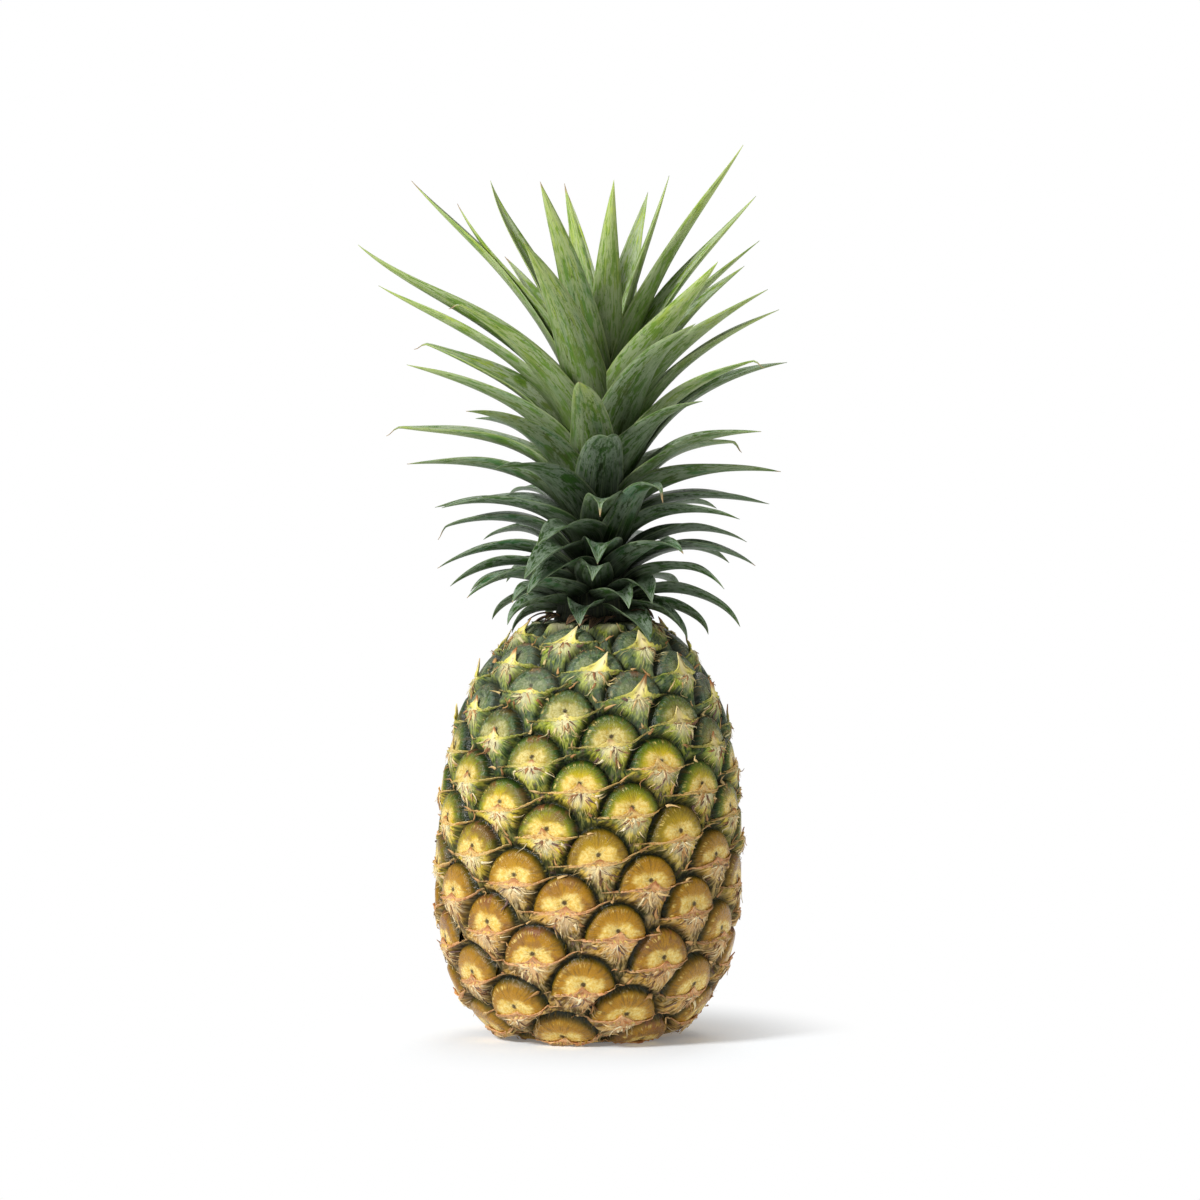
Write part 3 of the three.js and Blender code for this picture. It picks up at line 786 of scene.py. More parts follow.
def cut_stalk_material():
    """Cut face of the stalk: pale pith with fibre ends, and a browned rim."""
    material, n, surface = new_material("cut stalk")
    place = n.object_place()
    x, y, _ = n.split(place)
    ends = n.noise(place, 900.0, 2.0, 0.7)
    cloud = n.noise(place, 220.0, 3.0)
    color = n.mix(cloud, (0.52, 0.38, 0.20), (0.34, 0.22, 0.10))
    color = n.mix(n.span(ends, 0.58, 0.66), color, (0.16, 0.09, 0.04))
    color = n.mix(n.span(n.length(x, y), 0.0085, 0.0112), color, (0.10, 0.06, 0.028))
    n.plug(surface["Base Color"], color)
    surface["Roughness"].default_value = 0.85
    n.plug(surface["Normal"], n.bump(ends, 0.8, 0.0006))
    return material


def floor_material():
    """White studio floor that takes a shadow near the fruit and glows white farther out."""
    material, n, surface = new_material("pale floor")
    x, y, _ = n.split(n.object_place())
    far = n.span(n.length(x, y), 0.045, 0.115)
    n.plug(surface["Base Color"], n.mix(far, (0.85, 0.89, 0.93), (0, 0, 0)))
    n.plug(surface["Emission Color"], n.mix(far, (0.14, 0.14, 0.14), (1, 1, 1)))
    surface["Emission Strength"].default_value = 1.0
    surface["Roughness"].default_value = 0.9
    surface["Specular IOR Level"].default_value = 0
    return material


# -------------------- eyes of the rind


NEIGHBOURS = [-34, -29, -26, -21, -18, -16, -13, -11, -8, -5, -3, 0, 3, 5, 8, 11, 13, 16, 18, 21, 26, 29, 34]
DOME_HALF_WIDTH = 12.5
DOME_HEIGHT = 14.3
DOT_RISE = 4.1  # from the bract's edge up to the dark dot
DOME_LIFT = 3.5
FAN_LIFT = 4.1
FAN_LENGTH = 10.5
GROOVE_DEPTH = 0.9
DIMPLE_RADIUS = 0.22  # around the dot, in dome measures
DIMPLE_DEPTH = 0.7
RING_PLACE = 0.8  # a low ring on each dome, in dome measures
RING_WIDTH = 0.07
RING_LIFT = 0.18
FAN_RIB_LIFT = 0.4
KEEL_LIFT = 0.7
KEEL_WIDTH = 0.16
RIM_REACH = 0.42  # how near to a rim a point is moved onto it
FLAT_BELOW = 0.3  # heights of the bare skin between which the relief comes up to its full lift
FULL_ABOVE = 5.0
EYE_PLAY = 9  # degrees by which eyes are turned against one another


def eye_frame(eye):
    """Half width, height and turn of an eye, each with its own variation."""
    wide = DOME_HALF_WIDTH * (0.96 + 0.08 * eye_draw(eye, Salt.width))
    high = DOME_HEIGHT * (0.95 + 0.10 * eye_draw(eye, Salt.height))
    return wide, high, np.radians(EYE_PLAY * (eye_draw(eye, Salt.turn) - 0.5))


def bract_line(x, eye):
    """Height of a bract's edge across its eye, in dome heights: it climbs to the right, over the next dome."""
    own = 0.10 * (eye_draw(eye, Salt.climb) - 0.5)
    climb = (0.20 + own) * smooth(x, 0.3, 1.45) - (0.06 - own) * smooth(-x, 0.4, 1.5)
    return climb + 0.03 * smooth(np.abs(x), 0, 0.5)


def eye_locals(angle, way, eye):
    """Place of each point beside an eye: across and up from the middle of its bract's edge, in eye measures."""
    there_way = skin.way(eye + EYE_TILT * np.sin(eye_angle(eye)))
    radius = (skin.at_way(way)[0] + skin.at_way(there_way)[0]) / 2
    size = eye_size(eye)
    across = radius * wrap(angle - eye_angle(eye)) / size
    up = (way - there_way) / size + DOT_RISE
    wide, high, turn = eye_frame(eye)
    across, up = across * np.cos(turn) + up * np.sin(turn), up * np.cos(turn) - across * np.sin(turn)
    return across / wide, up / high


def eye_place(eye, x, y):
    """The reverse of eye_locals: angle and way of a point beside an eye."""
    wide, high, turn = eye_frame(eye)
    across, up = x * wide, y * high
    across, up = across * np.cos(turn) - up * np.sin(turn), up * np.cos(turn) + across * np.sin(turn)
    size = eye_size(eye)
    there_way = skin.way(eye + EYE_TILT * np.sin(eye_angle(eye)))
    way = there_way + (up - DOT_RISE) * size
    radius = (skin.at_way(way)[0] + skin.at_way(there_way)[0]) / 2
    return eye_angle(eye) + across * size / np.maximum(radius, 5), way


def rind_owner(angle, way, cell_eye):
    """For each point the eye that it belongs to, whether it lies on the dome, and its distance from the next rim."""
    dome_far = np.full(angle.shape, 9.0)
    fan_far = np.full(angle.shape, 9.0)
    rim_gap = np.full(angle.shape, 9.0)
    dome_owner = np.array(cell_eye, dtype=float)
    fan_owner = np.array(cell_eye, dtype=float)
    for step in NEIGHBOURS:
        eye = cell_eye + step
        x, y = eye_locals(angle, way, eye)
        line = y - bract_line(x, eye)
        far = np.hypot(x, y)
        above = line > 0
        closer = above & (far < 1) & (far < dome_far)
        dome_far[closer] = far[closer]
        dome_owner[closer] = eye[closer]
        rim_gap = np.where(above, np.minimum(rim_gap, np.abs(far - 1) * DOME_HALF_WIDTH), rim_gap)
        spread = np.hypot(x, line * 1.05)
        closer = ~above & (spread < fan_far)
        fan_far[closer] = spread[closer]
        fan_owner[closer] = eye[closer]
    on_dome = dome_far < 1
    return np.where(on_dome, dome_owner, fan_owner), on_dome, rim_gap


def snap_to_rims(angle, way, cell_eye):
    """Moves points that lie close to a dome's rim onto it, so that rims run clean."""
    nearest = np.full(angle.shape, 9.0)
    owner = np.array(cell_eye, dtype=float)
    for step in NEIGHBOURS:
        eye = cell_eye + step
        x, y = eye_locals(angle, way, eye)
        gap = np.abs(np.hypot(x, y) - 1) * DOME_HALF_WIDTH
        closer = (y > bract_line(x, eye)) & (gap < nearest)
        nearest[closer] = gap[closer]
        owner[closer] = eye[closer]
    x, y = eye_locals(angle, way, owner)
    far = np.maximum(np.hypot(x, y), 0.1)
    rim_angle, rim_way = eye_place(owner, x / far, y / far)
    near = (nearest < RIM_REACH) & (relief_fades(way) > 0)
    return np.where(near, angle + wrap(rim_angle - angle), angle), np.where(near, rim_way, way)


def rind_relief(angle, way, cell_eye):
    """Lift off the bare skin and groove mask at each point."""
    owner, on_dome, rim_gap = rind_owner(angle, way, cell_eye)
    x, y = eye_locals(angle, way, owner)
    line = y - bract_line(x, owner)
    far = np.minimum(np.hypot(x, y), 1)
    plump = 0.88 + 0.24 * eye_draw(owner, Salt.plumpness)
    dimple = np.exp(-((np.hypot(x, y - DOT_PLACE) / DIMPLE_RADIUS) ** 2))
    dome = DOME_LIFT * plump * np.sqrt(np.maximum(1 - far ** 6, 0)) - DIMPLE_DEPTH * dimple
    dome += RING_LIFT * np.exp(-(((far - RING_PLACE) / RING_WIDTH) ** 2)) - 0.5 * (1 - smooth(line, 0, 0.12))
    drop = np.maximum(-line, 0)
    fan_ray = np.arctan2(x, drop + 0.16)
    fan = FAN_LIFT * np.exp(-(drop * DOME_HEIGHT / FAN_LENGTH) ** 1.8) * (1 - 0.45 * smooth(np.abs(x), 0.3, 1.6))
    fan += FAN_RIB_LIFT * np.sin(fan_ray * 9 + owner * 1.3) * np.exp(-drop * 3) * smooth(np.hypot(x, drop), 0.05, 0.5)
    fan += KEEL_LIFT * np.exp(-((x / KEEL_WIDTH) ** 2)) * np.exp(-drop * 4)
    fan *= smooth(rim_gap, 0.0, 2.6)
    rim = smooth(far, 0.91, 1.0)
    # The groove mask deepens the grooves and also darkens the rind's colour there as painted shade
    hollow = np.where(on_dome, 0.9 * rim ** 2, (1 - smooth(rim_gap, 0.1, 2.6)) ** 1.2)
    hollow = np.maximum(hollow, np.where(on_dome, 0, 0.8 * smooth(drop, 0.85, 1.3)))
    lift = np.where(on_dome, dome, fan) * eye_size(owner)
    return lift - GROOVE_DEPTH * np.where(on_dome, rim ** 3, hollow), hollow


def relief_fades(way):
    """1 where eyes stand out in full, falling to 0 at the neck and where the base lies flat."""
    return (smooth(skin.at_way(way)[1], FLAT_BELOW, FULL_ABOVE)
            * (1 - smooth(way, skin.way(HIGHEST_EYE - 2), skin.way(HIGHEST_EYE + 8))))


def build_rind(settings, materials):
    """One patch of grid for each eye's cell, laid on the fruit, given its relief and welded to the next ones."""
    first = LOWEST_EYE - LAST_CELLS
    count = HIGHEST_EYE + LAST_CELLS - first + 1
    mesh, left, right, number = grids(count, settings.cell_steps, settings.cell_steps)
    cell_eye = number + float(first)
    left_turn = LEFT_STEP * GOLDEN_ANGLE - 3 * 360
    right_turn = RIGHT_STEP * GOLDEN_ANGLE - 5 * 360
    angle = eye_angle(cell_eye) - np.radians(left * left_turn + right * right_turn)
    place = cell_eye + LEFT_STEP * left + RIGHT_STEP * right + EYE_TILT * np.sin(angle)
    angle, way = snap_to_rims(angle, skin.way(place), cell_eye)
    lift, hollow = rind_relief(angle, way, cell_eye)
    points = skin_point(angle, way, lift * relief_fades(way))
    points[:, 2] = np.clip(points[:, 2], 0, NECK_HEIGHT)
    place_vertices(mesh, points)

    # Each face takes its pattern from the eye that owns its middle, so that no face mixes two eyes.
    corners = corner_vertices(mesh).reshape(-1, 4)
    face_angle, face_way = angle[corners], way[corners]
    owner = rind_owner(face_angle.mean(1), face_way.mean(1), cell_eye[corners[:, 0]])[0]
    owner = np.repeat(owner[:, None], 4, axis=1)
    x, y = eye_locals(face_angle, face_way, owner)
    line = y - bract_line(x, owner)
    greener = settings.green_side * (1 - np.cos(eye_angle(owner) + SHADE_TURN)) / 2
    set_corner_values(mesh, "eye", x / EYE_SPAN + 0.5, y / EYE_SPAN + 0.5)
    set_corner_values(mesh, "bract_line", line / EYE_SPAN + 0.5, greener)
    set_corner_values(mesh, "kind", eye_age(owner), eye_draw(owner, Salt.tone))
    # The groove mask, faded where the base lies flat, paints shade into the rind's colour
    layer = mesh.attributes.new("hollow", "FLOAT", "POINT")
    layer.data.foreach_set("value", (hollow * smooth(skin.at_way(way)[1], 0.1, 1.0)).astype(np.float32))

    bm = take_bmesh(mesh)
    bmesh.ops.remove_doubles(bm, verts=bm.verts, dist=WELD_DISTANCE)
    close_ends(bm)
    bmesh.ops.recalc_face_normals(bm, faces=bm.faces)
    finish_piece("rind", bm, [materials["rind"]], node="fruit")


def close_ends(bm):
    """Draws the open rims together: a flat neck under the crown, and a hollow around the stalk below."""
    rims = [edge for edge in bm.edges if edge.is_boundary]
    middle = BELLY_HEIGHT * MM
    top = [edge for edge in rims if edge.verts[0].co.z > middle]
    bottom = [edge for edge in rims if edge.verts[0].co.z < middle]
    gather_rim(bm, top, NECK_HEIGHT)
    raised, roof = extrude_rim(bm, bottom)
    bmesh.ops.translate(bm, vec=(0, 0, BASE_HOLLOW_DEPTH * MM), verts=raised)
    gather_rim(bm, roof, BASE_HOLLOW_DEPTH)


def extrude_rim(bm, rim):
    made = bmesh.ops.extrude_edge_only(bm, edges=rim)["geom"]
    verts = [item for item in made if isinstance(item, bmesh.types.BMVert)]
    edges = [item for item in made if isinstance(item, bmesh.types.BMEdge) and item.is_boundary]
    return verts, edges


def gather_rim(bm, rim, height):
    verts, _ = extrude_rim(bm, rim)
    bmesh.ops.pointmerge(bm, verts=verts, merge_co=(LEAN * height * MM, 0, height * MM))


# -------------------- bracts and torn skin


def lifted_points(eye, x, y, off, least=-9.0):
    """Points beside each eye that follow the rind's relief, off that many millimetres from it."""
    angle, way = eye_place(eye, x, y)
    lift, _ = rind_relief(angle, way, eye)
    points = skin_point(angle, way, np.maximum(lift * relief_fades(way), least) + off)
    points[..., 2] = np.clip(points[..., 2], 0.2, None)
    return points


def build_bracts(settings, materials):
    """A thin curled blade along the foot of each dome, with a point in the middle."""
    eyes = np.arange(LOWEST_EYE + BRACTS_FROM, HIGHEST_EYE + 1)
    mesh, side, rise, number = grids(len(eyes), 32, 3)
    eye = eyes[number].astype(float)
    u, v = side * 2, rise + 0.5
    age = eye_age(eye)
    high = eye_frame(eye)[1]
    x = u * (1.20 + 0.36 * eye_draw(eye, Salt.reach))
    ragged = np.sin(u * 13 + eye * 2.1) * np.sin(u * 29 + eye) + 0.6 * np.sin(u * 47 + eye * 5)
    taper = 1 - np.abs(u) ** 1.7
    edge = (0.25 + 0.45 * eye_draw(eye, Salt.edge)) * taper + 0.20 * ragged * taper
    point = np.exp(-(np.abs(u) / (0.12 + 0.05 * eye_draw(eye, Salt.point_width))) ** 1.3)
    horn = smooth(age, 0.60, 0.84) * smooth(eye_draw(eye, Salt.point) + smooth(age, 0.86, 0.95), 0.25, 0.9)
    point_length = 2.2 + 1.6 * eye_draw(eye, Salt.point) + 4.6 * horn
    curl = smooth(eye_draw(eye, Salt.curl), 0.35, 0.9) * smooth(np.abs(u), 0.40, 1.0) * np.where(u > 0, 1.0, 0.6)
    y_mm = -(0.15 + 0.50 * taper) * (1 - v) + v * (edge + point_length * point) + 1.9 * curl
    x = x + v * point * 0.10 * (eye_draw(eye, Salt.slant) - 0.5) * point_length
    off = 0.20 - 0.45 * (1 - v) + v * (0.60 * taper + 0.35 * ragged) - 0.25 * (1 - taper) + 2.2 * curl
    off += point * v * (0.25 + horn * point_length * 0.28 * v)
    y = bract_line(x, eye) + y_mm / high
    least = 2.6 * smooth(relief_fades(skin.way(eye)), 0.5, 1.0) * taper - 0.8
    place_vertices(mesh, lifted_points(eye, x, y, off, least))
    set_point_values(mesh, "blade", side + 0.5, v)
    set_point_values(mesh, "kind", age, eye_draw(eye, Salt.tone))
    piece = finish_piece("bracts", take_bmesh(mesh), [materials["bract"]])
    add_thickness(piece, settings.bract_thickness)


def build_ribbons(name, eye, foot, heading, length, width, stand, curl, tone, material, thickness):
    """Narrow tapering blades on the fans. Lengths are in millimetres, and a heading of 0 points down the fan."""
    mesh, side, t, number = grids(len(eye), 1, 4)
    t = t + 0.5
    eye, heading, length, width, stand, curl, tone = (
        values[number] for values in (eye, heading, length, width, stand, curl, tone))
    wide, high, _ = eye_frame(eye)
    turn = heading + curl * t
    taper = side * width * (1 - t ** 1.6)
    across = foot[0][number] * wide + np.sin(turn) * length * t + np.cos(turn) * taper
    up = foot[1][number] * high - np.cos(turn) * length * t + np.sin(turn) * taper
    x = across / wide
    y = up / high + bract_line(x, eye)
    place_vertices(mesh, lifted_points(eye, x, y, 0.12 + stand * length * t ** 1.5, 0.4))
    set_point_values(mesh, "blade", side + 0.5, t)
    set_point_values(mesh, "kind", eye_age(eye), tone)
    piece = finish_piece(name, take_bmesh(mesh), [material])
    add_thickness(piece, thickness)


def scattered(per_eye, first_salt, salt_step, count):
    """The eye of each flake or hair, and that many draws for each of them."""
    eyes = np.arange(LOWEST_EYE + FLAKES_FROM, HIGHEST_EYE + 1)
    eye = np.repeat(eyes, per_eye).astype(float)
    salt = np.tile(np.arange(per_eye), len(eyes)) * salt_step + first_salt
    return eye, [eye_draw(eye, salt + index) for index in range(count)]


def build_flakes(settings, materials):
    """Torn flakes on every fan, which run out from the bract's point."""
    eye, draws = scattered(settings.flakes_per_eye, Salt.flakes, 7.0, 7)
    heading = 1.25 * (2 * draws[0] - 1)
    start = 0.03 + 0.42 * draws[1] ** 1.5
    foot = (np.sin(heading) * start * 1.6, -np.cos(heading) * start)
    build_ribbons("torn_flakes", eye, foot, heading + 0.5 * (draws[2] - 0.5), 2.4 + 3.6 * draws[3] ** 1.5,
                  0.4 + 0.8 * draws[4] ** 2, 0.02 + 0.46 * draws[5] ** 3, 1.2 * (draws[2] - 0.5), draws[6] ** 1.5,
                  materials["flake"], FLAKE_THICKNESS)


def build_down(settings, materials):
    """Fine pale hairs on the fans, between the flakes."""
    eye, draws = scattered(settings.hairs_per_eye, Salt.hairs, 5.0, 5)
    heading = 1.5 * (2 * draws[0] - 1)
    start = 0.02 + 0.5 * draws[1]
    foot = (np.sin(heading) * start * 1.3, -np.cos(heading) * start)
    build_ribbons("down", eye, foot, heading + 0.8 * (draws[2] - 0.5), 2.0 + 2.6 * draws[3],
                  np.full(len(eye), settings.hair_width / MM), 0.05 + 0.28 * draws[4], 1.6 * (draws[2] - 0.5),
                  0.35 * draws[1], materials["flake"], HAIR_THICKNESS)


def build_corner_scraps(materials):
    """Small dry points where the end of a bract meets the next dome."""
    eye = np.repeat(np.arange(LOWEST_EYE + SCRAPS_FROM, HIGHEST_EYE - 1), 2).astype(float)
    end = np.tile([1.0, -1.0], len(eye) // 2)
    draws = [eye_draw(eye, index + np.where(end > 0, Salt.right_end, Salt.left_end)) for index in range(6)]
    foot = (end * (1.22 + 0.2 * draws[0]), 0.02 + 0.04 * draws[1])
    heading = math.pi - end * (0.3 + 1.0 * draws[2])
    build_ribbons("corner_scraps", eye, foot, heading, 2.0 + 2.8 * draws[3], 0.7 + 0.8 * draws[4],
                  0.15 + 0.35 * draws[5], 1.6 * (draws[0] - 0.5), 0.30 + 0.32 * draws[1], materials["flake"],
                  SCRAP_THICKNESS)


# -------------------- crown


def from_axis(reach, angle, height):
    return Vector((reach * math.sin(angle), -reach * math.cos(angle), height))


def crown_leaves():
    """The same leaves as in the part's source, each with its curve and width."""
    draw = seeded_draws(CROWN_SEED)
    leaves = []
    for index in range(LEAF_COUNT):
        age = index / (LEAF_COUNT - 1)
        angle = math.radians(CROWN_TURN - index * GOLDEN_ANGLE)
        reach = along(TIP_REACH, age) * (1 + REACH_PLAY * (2 * draw() - 1))
        height = along(TIP_HEIGHT, age) + HEIGHT_PLAY * (2 * draw() - 1)
        twist = math.radians(LEAF_TWIST) * (2 * draw() - 1)
        leaves.append({"index": index, "age": age, "angle": angle, "twist": twist, "reach": reach,
                       "tip": from_axis(reach, angle, height), "seen": False})
    for tips, fits in (
        (RIGHT_TIPS, lambda leaf: math.sin(leaf["angle"]) > SIDE_SHARE),
        (LEFT_TIPS, lambda leaf: math.sin(leaf["angle"]) < -SIDE_SHARE),
        (FRONT_TIPS, lambda leaf: math.cos(leaf["angle"]) > FRONT_SHARE),
    ):
        for across, height in tips:
            claim_tip([leaf for leaf in leaves if not leaf["seen"] and fits(leaf)], across, height)
    for leaf in leaves:
        add_curve(leaf)
    return leaves


def claim_tip(candidates, across, height):
    """Gives a measured tip to the leaf that comes closest to it by rule."""
    upright = across - LEAN * height

    def miss_by(leaf):
        return math.hypot(leaf["tip"].x - upright, HEIGHT_WEIGHT * (leaf["tip"].z - height))

    if not candidates:
        return
    leaf = min(candidates, key=miss_by)
    if miss_by(leaf) > FARTHEST_CLAIM:
        return
    reach = max(leaf["reach"], abs(upright))
    depth = math.sqrt(max(reach ** 2 - upright ** 2, 0)) * math.copysign(1, math.cos(leaf["angle"]))
    leaf["tip"] = Vector((upright, -depth, height))
    leaf["seen"] = True


def add_curve(leaf):
    age = leaf["age"]
    root_reach = (STEM_FOOT_RADIUS + (STEM_TOP_RADIUS - STEM_FOOT_RADIUS) * age) * (1 - ROOT_DEPTH)
    root_height = LOWEST_ROOT + (HIGHEST_ROOT - LOWEST_ROOT) * age ** ROOT_POWER
    root = from_axis(root_reach, leaf["angle"], root_height)
    tip = leaf["tip"]
    tip_angle = math.atan2(tip.x, -tip.y)
    root_pitch = math.radians(along(ROOT_PITCH, age))
    tip_pitch = math.radians(along(TIP_PITCH, age))
    span = (tip - root).length
    root_handle = root + from_axis(math.cos(root_pitch), leaf["angle"], math.sin(root_pitch)) * span * ROOT_HANDLE
    tip_handle = tip - from_axis(math.cos(tip_pitch), tip_angle, math.sin(tip_pitch)) * span * TIP_HANDLE
    leaf["curve"] = (root, root_handle, tip_handle, tip)
    leaf["width"] = along(LEAF_WIDTH, age)


def curve_point(curve, t):
    a, b, c, d = curve
    s = 1 - t
    return a * s ** 3 + b * (3 * s * s * t) + c * (3 * s * t * t) + d * t ** 3


def curve_tangent(curve, t):
    a, b, c, d = curve
    s = 1 - t
    return ((b - a) * (s * s) + (c - b) * (2 * s * t) + (d - c) * (t * t)).normalized()


def leaf_shape(share):
    foot = FOOT_WIDTH + (1 - FOOT_WIDTH) * float(smooth(share, 0, BROADEST_PLACE))
    return foot * max(1 - share ** DRAWN_OUT_POWER, 0)


def leaf_surface(leaf, u, share):
    """A point of the blade, u running from -1 at one margin to 1 at the other."""
    centre = curve_point(leaf["curve"], share)
    tangent = curve_tangent(leaf["curve"], share)
    side = Vector((math.cos(leaf["angle"]), math.sin(leaf["angle"]), 0))
    side = (side - tangent * side.dot(tangent)).normalized()
    side.rotate(Quaternion(tangent, leaf["twist"] * share))
    inward = tangent.cross(side)
    half = leaf["width"] / 2 * leaf_shape(share)
    seed = leaf["index"] * 1.7
    wave = 0.07 * half * math.sin(share * 11 + seed + u) * abs(u)
    lift = 2 * half * CHANNEL_DEPTH * u * u + wave
    sway = 0.9 * math.sin(share * 7 + seed) * share * (1 - share) * 2
    return centre + side * (u * half + sway) + inward * lift


def build_leaves(settings, materials):
    """Each leaf is a grid bent along its curve, with a shallow channel and a drawn-out tip."""
    leaves = crown_leaves()
    mesh, side, rise, number = grids(len(leaves), settings.leaf_columns, settings.leaf_rows)
    u = side * 2
    share = 1 - (1 - np.clip(rise + 0.5, 0, 1)) ** 1.15
    points = [leaf_surface(leaves[index], float(a), min(float(b), LEAF_END)) for index, a, b in zip(number, u, share)]
    points = np.array(points)
    seed = eye_draw(number.astype(float), Salt.leaf)
    # Some tips have dried and hang as a hook.
    hooked = (seed > 0.84) & (number / LEAF_COUNT > 0.3) & (number / LEAF_COUNT < 0.8)
    points[:, 2] -= np.where(hooked, HOOK_DROP * smooth(share, 0.92, 1.0) ** 2, 0)
    place_vertices(mesh, points)
    set_point_values(mesh, "leaf", u, share)
    set_point_values(mesh, "kind", number / (LEAF_COUNT - 1), seed)
    pair = [materials["leaf_under"], materials["leaf_upper"]]
    piece = finish_piece("crown_leaves", take_bmesh(mesh), pair, node="crown")
    shell = add_thickness(piece, settings.leaf_thickness, second_material=1)
    thin_out(piece, shell, (1 - 0.78 * u ** 4) * (1 - 0.75 * share ** 4))


def build_stem(materials):
    """The core that the leaves grow from, spun round the fruit's axis."""
    bm = bmesh.new()
    outline = [(0, STEM_FOOT), (STEM_FOOT_RADIUS, STEM_FOOT), (STEM_FOOT_RADIUS - 1, STEM_FOOT + 4),
               (STEM_FOOT_RADIUS - 3, 182), (STEM_TOP_RADIUS + 2, 205), (STEM_TOP_RADIUS, HIGHEST_ROOT), (0, STEM_TOP)]
    verts = [bm.verts.new((radius * MM, 0, height * MM)) for radius, height in outline]
    edges = [bm.edges.new(pair) for pair in zip(verts, verts[1:])]
    bmesh.ops.spin(bm, geom=verts + edges, cent=(0, 0, 0), axis=(0, 0, 1), dvec=(0, 0, 0), angle=math.tau,
                   steps=STEM_SIDES, use_merge=True)
    bmesh.ops.remove_doubles(bm, verts=bm.verts, dist=WELD_DISTANCE)
    for vert in bm.verts:
        vert.co.x += LEAN * vert.co.z
    bmesh.ops.recalc_face_normals(bm, faces=bm.faces)
    finish_piece("crown_stem", bm, [materials["stem"]])


def build_scraps(settings, materials):
    """Withered bracts curled around the neck, between the fruit and the crown."""
    draw = seeded_draws(NECK_SCRAP_SEED)
    mesh, side, rise, number = grids(settings.neck_scraps, 4, 10)
    places = []
    for index in range(settings.neck_scraps):
        angle = math.radians(index * GOLDEN_ANGLE + 20 * draw())
        places.append((angle, 13 + 4 * draw(), 7 + 9 * draw(), 1.4 + 2.2 * draw(), -0.3 + 0.8 * draw(), draw()))
    angle, start, length, width, lift, bend = np.array(places)[number].T
    share = rise + 0.5
    reach = start + length * share
    off = side * width * (1 - share ** 2) * 2
    height = NECK_SCRAP_HEIGHT + lift * length * np.sin(share * 2.4) * 0.6 - 3.6 * share ** 2 * (1 - lift * 0.6)
    height += 0.25 * np.abs(off)
    turn = angle + 0.6 * (bend - 0.5) * share
    across = reach * np.sin(turn) + off * np.cos(turn)
    back = off * np.sin(turn) - reach * np.cos(turn)
    place_vertices(mesh, np.stack([across, back, height], -1))
    set_point_values(mesh, "leaf", side * 2, share)
    seed = eye_draw(number.astype(float), Salt.scrap)
    set_point_values(mesh, "kind", seed, seed)
    piece = finish_piece("neck_scraps", take_bmesh(mesh), [materials["scrap"]])
    add_thickness(piece, NECK_SCRAP_THICKNESS)


# -------------------- stage


def build_stage(settings):
    """A white floor, soft studio lights and a long lens at the height of the fruit."""
    scene = bpy.context.scene
    bm = bmesh.new()
    bmesh.ops.create_circle(bm, cap_ends=True, segments=64, radius=FLOOR_RADIUS)
    mesh = bpy.data.meshes.new("studio_floor")
    bm.to_mesh(mesh)
    bm.free()
    mesh.materials.append(floor_material())
    floor = bpy.data.objects.new("studio_floor", mesh)
    scene.collection.objects.link(floor)

    # The surround looks white and lights the fruit more softly than that.
    world = bpy.data.worlds.new("studio")
    world.use_nodes = True
    n = Nodes(world.node_tree)
    background = world.node_tree.nodes["Background"]
    background.inputs["Color"].default_value = (1, 1, 1, 1)
    seen = n.add("ShaderNodeLightPath").outputs["Is Camera Ray"]
    n.plug(background.inputs["Strength"], n.value_mix(seen, settings.surround, 1.0))
    scene.world = world
    scene.view_settings.view_transform = "Standard"

    target = Vector((0, 0, LIGHTS_AIM))
    for name, place, size, power in (
        ("key light", (-1.25, -1.25, 1.25), 0.4, settings.key_power),
        ("fill light", (1.4, -1.1, 0.6), 1.0, settings.fill_power),
        ("back light", (0.3, 1.4, 1.5), 1.0, settings.back_power),
    ):
        light = bpy.data.lights.new(name, "AREA")
        light.size = size
        light.energy = power
        lamp = bpy.data.objects.new(name, light)
        lamp.location = place
        lamp.rotation_euler = (target - Vector(place)).to_track_quat("-Z", "Y").to_euler()
        scene.collection.objects.link(lamp)

    camera = bpy.data.cameras.new("camera")
    camera.sensor_width = 36
    camera.lens = 36 * settings.camera_distance / settings.view_width
    camera.clip_end = 50
    eye = bpy.data.objects.new("camera", camera)
    aim = Vector((settings.aim_across, 0, settings.aim_height))
    rise = settings.camera_rise
    eye.location = aim + Vector((0, -math.cos(rise), math.sin(rise))) * settings.camera_distance
    eye.rotation_euler = (aim - eye.location).to_track_quat("-Z", "Y").to_euler()
    scene.collection.objects.link(eye)
    scene.camera = eye


# -------------------- add-on


